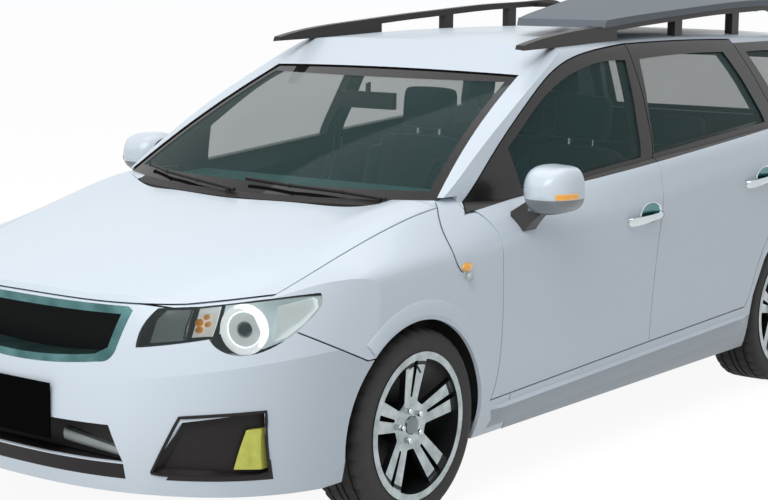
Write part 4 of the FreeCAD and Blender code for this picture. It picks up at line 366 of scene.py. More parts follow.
def bumper_zones(graph, x, y, z):
    """The walls inside the two fog lamp recesses, which lie behind the bumper's skin."""
    wide = graph.minus(graph.absolute(x), FOG_X)
    bend = graph.times(graph.times(wide, wide), FOG_SKIN_BEND)
    skin = graph.plus(graph.plus(graph.times(wide, FOG_SKIN_SLOPE), bend), at(FOG_SKIN_PLACE))
    inside = graph.both(graph.within(wide, FOG_REACH), graph.within(z, FOG_HEIGHTS))
    return graph.both(inside, graph.above(graph.minus(y, skin), FOG_WALL_DEPTH))


def glass(name, zones=None, colour=(0.020, 0.075, 0.075, 1), alpha=0.30):
    """Tinted glass; zones gives the printed black border."""
    material, graph = new_material(name)
    point, x, y, z = graph.place()
    tone = graph.noise(point, 2.0, 2.0)
    tint = graph.mix(tone, colour, tinted(colour, 1.25))
    amount = graph.mix_value(tone, alpha - 0.02, alpha + 0.02)
    if zones:
        mask = zones(graph, x, y, z)
        tint = graph.mix(mask, tint, rgb(26, 22, 23))
        amount = graph.mix_value(mask, amount, 1.0)
    graph.set("Base Color", tint)
    graph.set("Alpha", amount)
    graph.set("Roughness", 0.03)
    graph.set("IOR", 1.45)
    graph.set("Specular IOR Level", 0.22)
    return material


# The clear parts of the windscreen and the tailgate's glass: bottom and top, and half the width, which for
# the windscreen is the one at SCREEN_FOOT's height and shrinks above it
SCREEN_CLEAR, SCREEN_HALF, SCREEN_FOOT, SCREEN_LEAN, SCREEN_END = (1.004, 1.328), 0.655, 0.98, 0.363, 1.2
GATE_CLEAR, GATE_HALF = (1.085, 1.335), 0.465


def border(graph, x, z, half, clear):
    """What lies outside a clear part, whose width is on both sides of the middle."""
    beyond = graph.either(graph.above(z, clear[1]), graph.below(z, clear[0]))
    return graph.either(graph.above(graph.absolute(x), half), beyond)


def screen_zones(graph, x, y, z):
    """The printed border of the windscreen; the quarter windows behind have none."""
    half = graph.minus(SCREEN_HALF, graph.times(graph.minus(z, SCREEN_FOOT), SCREEN_LEAN))
    return graph.both(border(graph, x, z, half, SCREEN_CLEAR), graph.below(y, at(SCREEN_END)))


def gate_glass_zones(graph, x, y, z):
    return border(graph, x, z, GATE_HALF, GATE_CLEAR)


# Where the look of other pieces changes, in metres. Grille: plate's place behind the front axle. Rim: X of
# the spokes' faces, groove's radii. Lamps: top of the fog lamps, width where the dark part of the
# headlamp's housing ends, band of the tail lamp. Mirror: heights of its waist and foot, foot's width.
# Tyre: X where its outer wall starts.
GRILLE_PLATE = -0.80
SPOKE_X, GROOVE = 0.765, (0.193, 0.205)
FOG_TOP, DARK_HOUSING_X, TAIL_BAND = 0.5, 0.566, (0.885, 0.945)
MIRROR_WAIST, MIRROR_FOOT, MIRROR_FOOT_X = 0.978, 0.9295, 0.846
TYRE_WALL_X = 0.80


def grille_material(name):
    """Dark teal chrome frame round a flat black plate."""
    material, graph = new_material(name)
    point, _, y, _ = graph.place()
    plate = graph.above(y, at(GRILLE_PLATE))
    cloud = graph.noise(point, 14.0, 4.0)
    chrome = graph.mix(cloud, rgb(24, 62, 64), rgb(120, 165, 165))
    graph.set("Base Color", graph.mix(plate, chrome, rgb(12, 13, 14)))
    graph.set("Specular IOR Level", 0.1)
    graph.set("Metallic", graph.times(graph.minus(1.0, plate), 0.85))
    graph.set("Roughness", graph.mix_value(plate, 0.22, 0.55))
    graph.bump(graph.noise(point, 300.0, 2.0), 0.15, 0.0004)
    return material


def rim_material(name):
    """Polished spoke faces and lip, dark paint in the pockets and on the barrel."""
    material, graph = new_material(name)
    point, x, y, z = graph.place()
    outward = graph.times(graph.normal()[0], graph.math("SIGN", x))
    face = graph.both(graph.above(outward, 0.25), graph.above(graph.absolute(x), SPOKE_X))
    cloud = graph.noise(point, 22.0, 3.0, 0.6)
    bright = graph.mix(cloud, rgb(96, 110, 113), rgb(204, 212, 214))
    reach = graph.math("MINIMUM", graph.absolute(graph.minus(y, FRONT_AXLE_Y)),
                       graph.absolute(graph.minus(y, REAR_AXLE_Y)))
    rise = graph.minus(z, WHEEL_Z)
    radius = graph.math("SQRT", graph.plus(graph.times(reach, reach), graph.times(rise, rise)))
    face = graph.times(face, graph.minus(1.0, graph.within(radius, GROOVE)))
    graph.set("Base Color", graph.mix(face, rgb(26, 28, 30), bright))
    graph.set("Metallic", graph.mix_value(face, 0.35, 1.0))
    graph.set("Roughness", graph.mix_value(face, 0.45, 0.16))
    return material


def lamp_material(name):
    """Clear front faces over a housing that is darker beside the grille, and yellow fog lamps."""
    material, graph = new_material(name)
    point, x, _, z = graph.place()
    nx, ny, _ = graph.normal()
    outward = graph.times(nx, graph.math("SIGN", x))
    clear = graph.above(graph.minus(graph.times(outward, 0.8), ny), -0.3)
    fog = graph.below(z, FOG_TOP)
    cloud = graph.noise(point, 40.0, 3.0)
    bright = graph.mix(cloud, rgb(120, 132, 133), rgb(206, 214, 214))
    housing = graph.mix(graph.above(graph.absolute(x), DARK_HOUSING_X), rgb(66, 76, 78), bright)
    colour = graph.mix(clear, housing, rgb(190, 205, 206))
    yellow = graph.mix(cloud, rgb(176, 182, 60), rgb(226, 228, 120))
    graph.set("Base Color", graph.mix(fog, colour, yellow))
    graph.set("Alpha", graph.mix_value(fog, graph.mix_value(clear, 1.0, 0.06), 1.0))
    graph.set("Roughness", 0.06)
    graph.set("Specular IOR Level", 0.3)
    return material


def tail_lamp_material(name):
    """Red lens with a clear band and upright ribs."""
    material, graph = new_material(name)
    point, x, _, z = graph.place()
    cloud = graph.noise(point, 30.0, 3.0)
    red = graph.mix(cloud, rgb(120, 8, 12), rgb(172, 18, 22))
    graph.set("Base Color", graph.mix(graph.within(z, TAIL_BAND), red, rgb(214, 214, 208)))
    graph.bump(graph.math("SINE", graph.times(x, 900.0)), 0.25, 0.001)
    graph.set("Roughness", graph.mix_value(cloud, 0.08, 0.16))
    graph.set("Coat Weight", 1.0)
    return material


def mirror_material(name):
    """White upper shell over a grey lower half, with a black foot."""
    material, graph = new_material(name)
    point, x, _, z = graph.place()
    lower = graph.below(z, MIRROR_WAIST)
    foot = graph.either(graph.below(graph.absolute(x), MIRROR_FOOT_X), graph.below(z, MIRROR_FOOT))
    colour = graph.mix(graph.noise(point, 5.0, 3.0), tinted(PAINT, 0.97), PAINT)
    colour = graph.mix(lower, colour, rgb(126, 134, 140))
    graph.set("Base Color", graph.mix(foot, colour, rgb(32, 30, 30)))
    graph.set("Roughness", graph.mix_value(foot, graph.mix_value(lower, 0.28, 0.4), 0.6))
    graph.set("Coat Weight", 0.4)
    graph.bump(graph.noise(point, 300.0, 2.0), 0.04, 0.0004)
    return material


def cloth_material(name, colour, threads=1800.0):
    """Woven seat cloth: crossed threads, soft sheen and colour flecks."""
    material, graph = new_material(name)
    point, x, y, z = graph.place()
    along_thread = graph.math("SINE", graph.times(graph.plus(y, z), threads))
    across_thread = graph.math("SINE", graph.times(x, threads))
    weave = graph.times(along_thread, across_thread)
    fleck = graph.noise(point, 130.0, 5.0, 0.7)
    cloud = graph.noise(point, 7.0, 4.0)
    graph.set("Base Color", graph.mix(graph.times(fleck, cloud), tinted(colour, 0.65), tinted(colour, 1.5)))
    graph.set("Roughness", 0.9)
    graph.set("Sheen Weight", 0.35)
    graph.bump(graph.plus(graph.times(weave, 0.5), fleck), 0.5, 0.0008)
    return material


def tyre_material(name):
    """Dusty rubber, lighter on the outer wall."""
    material, graph = new_material(name)
    point, x, _, _ = graph.place()
    dust = graph.noise(point, 26.0, 5.0, 0.65)
    tread = graph.mix(dust, rgb(26, 26, 27), rgb(48, 47, 46))
    wall = graph.mix(dust, rgb(40, 40, 41), rgb(72, 71, 70))
    graph.set("Base Color", graph.mix(graph.above(graph.absolute(x), TYRE_WALL_X), tread, wall))
    graph.set("Roughness", graph.mix_value(dust, 0.75, 0.92))
    graph.bump(graph.noise(point, 420.0, 3.0), 0.25, 0.0005)
    return material


M = {
    "paint": paint("paint"), "door": paint("door_paint", door_zones), "side": paint("side_paint", side_zones),
    "roof": paint("roof_paint", None, "down"), "gate": paint("gate_paint", None, "front"),
    "bare": paint("panel_paint", None, False), "bumper": paint("bumper_paint", bumper_zones, False),
    "black": plain("black_trim", rgb(40, 37, 37), 0.45, grain=220.0, gloss=0.2),
    "liner": plain("liner", rgb(22, 22, 23), 0.85, grain=90.0, bump=0.4),
    "under": plain("underside", rgb(52, 54, 56), 0.8, grain=70.0, bump=0.5, depth=0.002, vary=0.25),
    "steel": plain("dull_steel", rgb(72, 72, 74), 0.5, 0.8, grain=90.0, vary=0.3, bump=0.3),
    "engine": plain("engine_block", rgb(88, 88, 90), 0.6, 0.7, grain=50.0, vary=0.3, bump=0.5, depth=0.002),
    "dash": plain("dashboard", rgb(62, 104, 104), 0.8, grain=120.0, bump=0.12, gloss=0.15),
    "rail": plain("rail_black", rgb(50, 46, 44), 0.4, grain=200.0, vary=0.2, gloss=0.3),
    "panel": plain("roof_panel", rgb(104, 112, 120), 0.6, grain=160.0, vary=0.12, bump=0.35, gloss=0.3),
    "plate": plain("plate_black", rgb(4, 4, 5), 0.7, grain=240.0, gloss=0.02),
    "chrome": plain("chrome", rgb(200, 208, 210), 0.12, 1.0, grain=30.0, vary=0.25, bump=0.0, spread=0.05),
    "teal_chrome": plain("teal_chrome", rgb(88, 132, 134), 0.12, 1.0, grain=30.0, vary=0.5, bump=0.0,
                         spread=0.05),
    "bar": plain("worn_metal", rgb(150, 156, 156), 0.4, 0.7, grain=130.0, vary=0.45, bump=0.5, depth=0.001),
    # The glow of the reflector, lamp shell and smoke looks is painted light on parts behind the headlamp's lens
    # that get too little light (the fender knob shares the smoke look); the ring's and the amber parts' glow is
    # their lamp light.
    "reflector": plain("reflector", rgb(222, 228, 228), 0.2, 0.35, grain=50.0, vary=0.15, bump=0.25,
                       depth=0.001, spread=0.05, glow=0.42),
    "shell": plain("lamp_shell", rgb(184, 196, 198), 0.3, 0.2, grain=30.0, vary=0.45, bump=0.4, depth=0.002,
                   glow=0.42),
    "white_ring": plain("lamp_ring", rgb(244, 248, 250), 0.3, 0.0, vary=0.03, coat=0.8, glow=0.62),
    "smoke": plain("lamp_smoke", rgb(158, 172, 173), 0.35, 0.0, grain=26.0, vary=0.3, bump=0.3, depth=0.002,
                   glow=0.20),
    "amber": plain("amber_lens", rgb(236, 160, 40), 0.15, 0.0, grain=90.0, vary=0.3, bump=0.3, coat=0.8,
                   glow=0.22),
    "lens_dark": plain("projector_lens", rgb(92, 116, 118), 0.08, 0.0, vary=0.3, bump=0.0, coat=1.0,
                       spread=0.02),
    "cap": plain("hub_cap", rgb(120, 128, 132), 0.2, 1.0, vary=0.3, bump=0.0),
    "mirror_glass": plain("mirror_glass", rgb(214, 222, 226), 0.03, 1.0, vary=0.05, bump=0.0, spread=0.01),
    "seat": cloth_material("seat_cloth", rgb(62, 64, 66)),
    "seat_side": cloth_material("seat_side_cloth", rgb(44, 66, 68)),
    "glass": glass("side_glass"), "screen": glass("windscreen", screen_zones, alpha=0.24),
    "gate_glass": glass("tailgate_glass", gate_glass_zones),
    "grille": grille_material("grille"), "rim": rim_material("rim"), "lamp": lamp_material("lamp_lens"),
    "tail_lamp": tail_lamp_material("tail_lamp"), "mirror": mirror_material("mirror_shell"),
    "tyre": tyre_material("tyre"),
    "line": plain("seam", rgb(62, 68, 74), 0.6, bump=0.0),
}

LOOKS = {
    "underbody": "under", "body_side_left": "side", "body_side_right": "side", "roof": "roof", "cowl": "black",
    "bonnet": "bare", "front_fenders": "bare", "front_bumper": "bumper", "grille": "grille",
    "lower_grille": "black",
    "front_lamps": "lamp", "rear_bumper": "bare", "tail_lamps": "tail_lamp", "fixed_windows": "screen",
    "tailgate": "gate", "tailgate_glass": "gate_glass", "arch_liners": "liner", "roof_rails": "rail",
    "roof_panel": "panel", "dashboard": "dash", "steering_wheel": "black", "seat_frames": "steel",
    "cabin_mirror": "black", "engine_block": "engine", "front_suspension": "steel", "rear_axle": "steel",
    "exhaust_and_tank": "steel", "front_plate": "plate", "rear_plate": "plate", "front_seats": "seat",
    "rear_seat": "seat",
}
for side in SIDES:
    LOOKS.update({"door_mirror_" + side: "mirror", "knuckle_" + side: "steel"})
    for place in ("front", "rear"):
        for part, look in (("door", "door"), ("door_glass", "glass"), ("tyre", "tyre"), ("rim", "rim")):
            LOOKS["%s_%s_%s" % (place, part, side)] = look

SMOOTH_ANGLE, PIECE_SMOOTH_ANGLE = math.radians(28), math.radians(35)
for node, look in LOOKS.items():
    data = NODES[node].data
    data.materials.clear()
    data.materials.append(M[look])
    data.polygons.foreach_set("use_smooth", [True] * len(data.polygons))
    data.set_sharp_from_angle(angle=SMOOTH_ANGLE)


def add_piece(name, vertices, faces, look, body, slot, mirror=1):
    mesh = bpy.data.meshes.new(name)
    points = [(v[0] * mirror, v[1], v[2]) for v in vertices]
    mesh.from_pydata(points, [], faces)
    mesh.validate()
    tool = bmesh.new()
    tool.from_mesh(mesh)
    bmesh.ops.recalc_face_normals(tool, faces=tool.faces)
    tool.to_mesh(mesh)
    tool.free()
    piece = link(name, mesh)
    mesh.materials.append(M[look])
    mesh.polygons.foreach_set("use_smooth", [True] * len(mesh.polygons))
    mesh.set_sharp_from_angle(angle=PIECE_SMOOTH_ANGLE)
    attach(piece, body)
    return piece


def grid_faces(rows, columns, closed=False, ends=False):
    """Faces between rows of points; closed joins each row's end to its start, ends closes both rows."""
    faces = []
    span = columns if closed else columns - 1
    for i in range(rows - 1):
        for j in range(span):
            k = (j + 1) % columns
            faces.append((i * columns + j, i * columns + k, (i + 1) * columns + k, (i + 1) * columns + j))
    if ends:
        faces.append(tuple(range(columns)))
        faces.append(tuple((rows - 1) * columns + j for j in reversed(range(columns))))
    return faces


def capped(rows, columns):
    """Faces between closed rows of points, with one face over the last row."""
    return grid_faces(rows, columns, closed=True) + [tuple(range((rows - 1) * columns, rows * columns))]


def join(parts):
    """Several vertex and face lists as one."""
    vertices, faces = [], []
    for part_vertices, part_faces in parts:
        base = len(vertices)
        vertices += list(part_vertices)
        faces += [tuple(base + i for i in face) for face in part_faces]
    return vertices, faces


def turned(profile, centre, axis, steps):
    """A profile of (radius, length along the axis) turned about an axis through a centre."""
    axis = Vector(axis).normalized()
    side = axis.orthogonal().normalized()
    other = axis.cross(side)
    centre = Vector(centre)
    vertices = []
    for radius, length in profile:
        for k in range(steps):
            angle = math.tau * k / steps
            spoke = side * math.cos(angle) + other * math.sin(angle)
            vertices.append(centre + axis * length + spoke * radius)
    return vertices, grid_faces(len(profile), steps, closed=True, ends=True)


def tube(points, radius, steps=8):
    """A round bar along points."""
    points = [Vector(p) for p in points]
    vertices = []
    for k, point in enumerate(points):
        ahead = points[min(k + 1, len(points) - 1)] - points[max(k - 1, 0)]
        side = ahead.cross(Vector((0.3, 0.2, 1))).normalized()
        other = ahead.normalized().cross(side)
        for j in range(steps):
            angle = math.tau * j / steps
            vertices.append(point + (side * math.cos(angle) + other * math.sin(angle)) * radius)
    return vertices, grid_faces(len(points), steps, closed=True, ends=True)


def slab(outline, thickness):
    """A thin plate: an outline, and the same one behind it."""
    count = len(outline)
    vertices = [Vector(p) for p in outline] + [Vector(p) + Vector((0, 1, 0)) * thickness for p in outline]
    faces = [tuple(range(count)), tuple(reversed(range(count, 2 * count)))]
    return vertices, faces + grid_faces(2, count, closed=True)


TREES = {}


def tree_of(node):
    if node not in TREES:
        data = NODES[node].data
        faces = [tuple(p.vertices) for p in data.polygons]
        TREES[node] = BVHTree.FromPolygons([v.co for v in data.vertices], faces)
    return TREES[node]


def side_point(node, y, z, lift=0.0):
    """The outer face of a left-hand node at a place on the side, lifted square to it."""
    place, normal, _, _ = tree_of(node).ray_cast(Vector((OUTSIDE, y, z)), Vector((-1, 0, 0)))
    if place is None:
        return None
    if normal.x < 0:
        normal = -normal
    return place + normal * lift


def nearest(node, point, out, lift):
    """The place on a node's face closest to a point, lifted outward."""
    return tree_of(node).find_nearest(Vector(point))[0] + out * lift


def oval_rings(node, middle, reach, rings, steps, slope=0.0):
    """Points on ovals about one middle on the side, a ring for each (scale, lift). Pairs are (y, z)."""
    points = []
    for scale, lift in rings:
        for k in range(steps):
            angle = math.tau * k / steps
            dy, dz = math.cos(angle) * reach[0] * scale, math.sin(angle) * reach[1] * scale
            points.append(side_point(node, middle[0] + dy, middle[1] + dz + slope * dy, lift))
    return points


# The nose: how far it falls back with the width, and with the height, as (place, setback) in metres
NOSE_Y = -2.227
NOSE_PLAN = ((0, 0), (0.2, 0.0098), (0.4, 0.054), (0.55, 0.1231), (0.65, 0.194), (0.72, 0.2721),
             (0.78, 0.3751), (0.82, 0.5), (0.847, 0.6498), (0.87, 0.8099), (0.895, 0.9799))
NOSE_LEAN = ((0.05, 0.0602), (0.2, 0.0299), (0.3, 0.008), (0.45, 0.0), (0.6, 0.0201), (0.7, 0.05),
             (0.76, 0.0798), (0.82, 0.1249), (0.9, 0.2199), (1.1, 0.5999))


def between(table, value):
    for (a, low), (b, high) in zip(table, table[1:]):
        if value <= b:
            return low + (high - low) * (value - a) / (b - a)
    return table[-1][1]


def nose(x, z, depth=0.0):
    """The place on the car's front skin at a width and height, set back by a depth."""
    return Vector((x, NOSE_Y + between(NOSE_PLAN, abs(x)) + between(NOSE_LEAN, z) + depth, z))


def surface_ribbon(points, width, thickness):
    """A thin raised strip through points on a surface, square to the given outward directions."""
    vertices = []
    for k, (point, out) in enumerate(points):
        ahead = points[min(k + 1, len(points) - 1)][0] - points[max(k - 1, 0)][0]
        side = ahead.cross(out).normalized() * (width / 2)
        for shift, rise in ((-1, -0.3), (-0.7, 1), (0.7, 1), (1, -0.3)):
            vertices.append(point + side * shift + out * (thickness * rise))
    return vertices, grid_faces(len(points), 4, closed=True, ends=True)


# Half of the tyre's section as (radius, distance from its middle plane), from the bead to the tread's
# middle. The points from SHOULDER are cut at every fourth step round it, and those in MIDDLE between them.
TYRE_PROFILE = [
    (0.223, 0.0885), (0.228, 0.0965), (0.240, 0.1000), (0.256, 0.1012), (0.270, 0.1020), (0.283, 0.1010),
    (0.293, 0.0975), (0.3005, 0.0915), (0.3045, 0.0830), (0.3062, 0.0700), (0.3062, 0.0600), (0.2990, 0.0595),
    (0.2990, 0.0505), (0.3074, 0.0500), (0.3078, 0.0250), (0.3078, 0.0180), (0.3005, 0.0175), (0.3005, 0.0085),
    (0.3079, 0.0080),
]
TREAD_STEPS, BLOCK_STEPS = 144, 4
SHOULDER, SHOULDER_CUT = range(7, 11), 0.0055
MIDDLE, MIDDLE_CUT = (13, 14), 0.004

# The small parts of a wheel: profiles as (radius, length), the nuts' circle, how far the cap sinks in and
# from where it is measured, and the valve's place on the rim and its route as (outward, down)
CAP_PROFILE = ((0.0295, 0), (0.0295, 0.006), (0.026, 0.010), (0.018, 0.0118), (0.008, 0.0125))
CAP_SINK, CAP_RISE = 0.004, 0.010
NUT_PROFILE = ((0.0105, -0.004), (0.0105, 0.010), (0.0085, 0.013), (0.004, 0.0135))
NUTS, NUT_CIRCLE = 5, 0.050
VALVE_X, VALVE_RISE, VALVE_RADIUS = 0.085, 0.196, 0.0035
VALVE_ROUTE = ((0, 0), (0.012, 0.012), (0.020, 0.024))


def wheel_centre(place, sign):
    return Vector((WHEEL_X * sign, FRONT_AXLE_Y if place == "front" else REAR_AXLE_Y, WHEEL_Z))


def add_tyre(place, side):
    """A tyre with round grooves, shoulder blocks and a plain wall."""
    centre = wheel_centre(place, SIDES[side])
    profile = TYRE_PROFILE + [(r, -w) for r, w in reversed(TYRE_PROFILE)]
    vertices = []
    count = len(profile)
    for k in range(TREAD_STEPS):
        angle = math.tau * k / TREAD_STEPS
        for j, (radius, wide) in enumerate(profile):
            edge = min(j, count - 1 - j)
            if edge in SHOULDER and k % BLOCK_STEPS == 0:
                radius -= SHOULDER_CUT
            if edge in MIDDLE and k % BLOCK_STEPS == BLOCK_STEPS // 2:
                radius -= MIDDLE_CUT
            round_place = (centre.y + radius * math.cos(angle), centre.z + radius * math.sin(angle))
            vertices.append((centre.x + wide, *round_place))
    faces = []
    for k in range(TREAD_STEPS):
        n = (k + 1) % TREAD_STEPS
        for j in range(count - 1):
            faces.append((k * count + j, k * count + j + 1, n * count + j + 1, n * count + j))
        faces.append((k * count + count - 1, k * count, n * count, n * count + count - 1))
    body = "%s_wheel_%s" % (place, side)
    piece = add_piece("tyre_%s_%s" % (place, side), vertices, faces, "tyre", body, "tyre")
    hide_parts("%s_tyre_%s" % (place, side))


def add_wheel_details(place, side):
    sign = SIDES[side]
    centre = wheel_centre(place, sign)
    tree = tree_of("%s_rim_%s" % (place, side))

    def rim_x(y, z):
        """The X of the rim's outer face at a place from the wheel's centre."""
        start = Vector((OUTSIDE * sign, centre.y + y, centre.z + z))
        return tree.ray_cast(start, Vector((-sign, 0, 0)))[0].x

    def wheel_part(part, mesh, look):
        name = "wheel_%s_%s_%s" % (part, place, side)
        add_piece(name, *mesh, look, "%s_wheel_%s" % (place, side), "rim")

    start = Vector((rim_x(0, CAP_RISE) - CAP_SINK * sign, centre.y, centre.z))
    wheel_part("cap", turned(CAP_PROFILE, start, (sign, 0, 0), 40), "cap")
    nuts = []
    for k in range(NUTS):
        angle = math.tau * (k + 0.5) / NUTS
        nut = Vector((0, math.cos(angle) * NUT_CIRCLE, math.sin(angle) * NUT_CIRCLE))
        foot = Vector((rim_x(nut.y, nut.z), centre.y + nut.y, centre.z + nut.z))
        nuts.append(turned(NUT_PROFILE, foot, (sign, 0, 0), 6))
    wheel_part("nuts", join(nuts), "chrome")
    valve = centre + Vector((sign * VALVE_X, 0.0, VALVE_RISE))
    stem = [valve + Vector((sign * out, 0, -down)) for out, down in VALVE_ROUTE]
    wheel_part("valve", tube(stem, VALVE_RADIUS), "black")


for place in ("front", "rear"):
    for side in SIDES:
        add_tyre(place, side)
        add_wheel_details(place, side)


# The headlamp's inner parts, in metres. Round ones turn about LAMP_AIM through LAMP_CENTRE, which is
# (width, height, depth behind the nose), and are (part, (radius, length) pairs, steps, look).
LAMP_CENTRE, LAMP_AIM = (0.662, 0.690, 0.042), Vector((0.30, -0.954, 0.0)).normalized()
LAMP_ROUND = (
    ("ring", ((0.074, 0.0), (0.074, 0.012), (0.065, 0.018), (0.054, 0.012), (0.052, 0.0)), 64, "white_ring"),
    ("bowl", ((0.051, 0.006), (0.044, -0.004), (0.034, -0.012), (0.025, -0.016), (0.025, -0.020),
              (0.051, -0.016)), 64, "reflector"),
    ("projector", ((0.027, -0.014), (0.027, -0.002), (0.023, 0.010), (0.015, 0.017), (0.006, 0.0195)), 48,
     "lens_dark"),
)
# Outlines as (width, height), and plates as (part, outline, depth, thickness, look)
LAMP_OUTER = ((0.722, 0.752), (0.772, 0.772), (0.780, 0.765), (0.784, 0.742), (0.772, 0.702), (0.748, 0.664),
              (0.730, 0.654))
LAMP_SMOKE = ((0.440, 0.647), (0.445, 0.708), (0.462, 0.738), (0.520, 0.742), (0.536, 0.743), (0.536, 0.662),
              (0.528, 0.658))
LAMP_EDGE = ((0.430, 0.642), (0.436, 0.715), (0.457, 0.742), (0.470, 0.742), (0.450, 0.713), (0.444, 0.645))
LAMP_SHELL = ((0.586, 0.750), (0.640, 0.757), (0.735, 0.770), (0.772, 0.770), (0.780, 0.745), (0.762, 0.694),
              (0.735, 0.655), (0.690, 0.628), (0.650, 0.626), (0.622, 0.640), (0.604, 0.668), (0.588, 0.672))
LAMP_POCKET = ((0.540, 0.664), (0.542, 0.744), (0.590, 0.751), (0.592, 0.700), (0.588, 0.668), (0.576, 0.668))
# The reflector, shell and smoke looks of these parts glow with painted light.
LAMP_PLATES = (
    ("smoked_plate", LAMP_SMOKE, 0.022, 0.004, "smoke"), ("dark_edge", LAMP_EDGE, 0.010, 0.020, "black"),
    ("shell", LAMP_SHELL, 0.074, 0.004, "shell"), ("amber_pocket", LAMP_POCKET, 0.045, 0.004, "reflector"),
)
LAMP_OUTER_DEPTHS = (0.020, 0.050)
# Bulbs as (width, height, radius), their lengths and the shares of the radius there
LAMP_BULBS = ((0.556, 0.708, 0.011), (0.570, 0.724, 0.008), (0.560, 0.688, 0.010), (0.578, 0.704, 0.008))
BULB_SHARES, BULB_DEPTH = ((1, 0), (1, 0.012), (0.7, 0.020), (0.25, 0.0235)), 0.040
LAMP_DIVIDER, DIVIDER_DEPTH, DIVIDER_RADIUS = ((0.538, 0.664), (0.539, 0.700), (0.541, 0.744)), 0.016, 0.004


def add_headlamp(side):
    def lamp_part(part, mesh, look):
        add_piece("lamp_%s_%s" % (part, side), *mesh, look, "car_body", "lamp", mirror=SIDES[side])

    for part, profile, steps, look in LAMP_ROUND:
        lamp_part(part, turned(profile, nose(*LAMP_CENTRE), LAMP_AIM, steps), look)
    walls = [nose(x, z, depth) for depth in LAMP_OUTER_DEPTHS for x, z in LAMP_OUTER]
    lamp_part("outer_reflector", (walls, capped(2, len(LAMP_OUTER))), "reflector")
    for part, outline, depth, thickness, look in LAMP_PLATES:
        lamp_part(part, slab([nose(x, z, depth) for x, z in outline], thickness), look)
    bulbs = []
    for x, z, radius in LAMP_BULBS:
        profile = [(radius * share, length) for share, length in BULB_SHARES]
        bulbs.append(turned(profile, nose(x, z, BULB_DEPTH), LAMP_AIM, 20))
    lamp_part("amber_bulbs", join(bulbs), "amber")
    lamp_part("divider", tube([nose(x, z, DIVIDER_DEPTH) for x, z in LAMP_DIVIDER], DIVIDER_RADIUS), "chrome")


for side in SIDES:
    add_headlamp(side)


# The bars in the lower intake: X, top and bottom at both ends, the front's place behind the front axle and
# how it falls back beyond a width, and the rounding of the section
BAR_X, BAR_TOP, BAR_BOTTOM = (0.140, 0.386), (0.366, 0.336), (0.322, 0.304)
BAR_STEPS, BAR_FRONT, BAR_BEND, BAR_BEND_X = 8, -0.846, 0.05, 0.2
BAR_ROUND, BAR_BACK, BAR_CROWN = 0.006, 0.010, 0.003


def add_front_bars():
    for side, sign in SIDES.items():
        rows = []
        for k in range(BAR_STEPS + 1):
            x, top, bottom = (blend(ends, k / BAR_STEPS) for ends in (BAR_X, BAR_TOP, BAR_BOTTOM))
            y = at(BAR_FRONT + BAR_BEND * max(0, x - BAR_BEND_X))
            rows += [(x, y + BAR_BACK, bottom), (x, y, bottom + BAR_ROUND),
                     (x, y - BAR_CROWN, (top + bottom) / 2), (x, y, top - BAR_ROUND), (x, y + BAR_BACK, top)]
        faces = grid_faces(BAR_STEPS + 1, 5, closed=True, ends=True)
        add_piece("intake_bar_" + side, rows, faces, "bar", "car_body", "black_trim", mirror=sign)


# The fog lamp's recess as (width, height); the shares that its inner end shrinks to, outside and inside of
# its middle; and how a frame is laid round it
FOG_OUTLINE = ((0.476, 0.274), (0.560, 0.445), (0.640, 0.452), (0.738, 0.458), (0.737, 0.360), (0.739, 0.274),
               (0.610, 0.273))
FOG_MIDDLE = (0.62, 0.36)
FOG_INSET, FOG_INSET_INNER = 0.92, 0.84
FOG_STEPS, FRAME_WIDTH, FRAME_THICKNESS, FRAME_LIFT = 6, 0.010, 0.003, 0.0012
# The recess ends just before the face behind it, or where there is none, this far behind the frame
FOG_CLEARANCE, FOG_SHALLOW = 0.001, 0.03
FRONT_START = -3


def recess_point(point):
    """The inner end of the fog lamp's recess behind a point of its frame."""
    inset = FOG_INSET if point.x > FOG_MIDDLE[0] else FOG_INSET_INNER
    x = FOG_MIDDLE[0] + (point.x - FOG_MIDDLE[0]) * inset
    z = FOG_MIDDLE[1] + (point.z - FOG_MIDDLE[1]) * inset
    start, back = Vector((x, FRONT_START, z)), Vector((0, 1, 0))
    hits = [tree_of(node).ray_cast(start, back)[0] for node in ("lower_grille", "front_lamps")]
    depths = [hit.y for hit in hits if hit is not None]
    return Vector((x, (min(depths) if depths else point.y + FOG_SHALLOW) - FOG_CLEARANCE, z))


def add_fog_frames():
    """A thin black edge round each fog lamp's recess, and the recess's walls."""
    out = Vector((0.35, -0.93, 0)).normalized()
    corners = FOG_OUTLINE + FOG_OUTLINE[:1]
    places = []
    for (x0, z0), (x1, z1) in zip(corners, corners[1:]):
        places += [(blend((x0, x1), k / FOG_STEPS), blend((z0, z1), k / FOG_STEPS)) for k in range(FOG_STEPS)]
    places.append(places[0])
    edge = [nearest("front_bumper", nose(x, z, -0.004), out, FRAME_LIFT) for x, z in places]
    ribbon = surface_ribbon([(point, out) for point in edge], FRAME_WIDTH, FRAME_THICKNESS)
    walls = [corner for point in edge for corner in (point, recess_point(point))]
    for side, sign in SIDES.items():
        add_piece("fog_frame_" + side, *ribbon, "black", "car_body", "black_trim", mirror=sign)
        add_piece("fog_recess_" + side, walls, grid_faces(len(edge), 2), "black", "car_body", "black_trim",
                  mirror=sign)


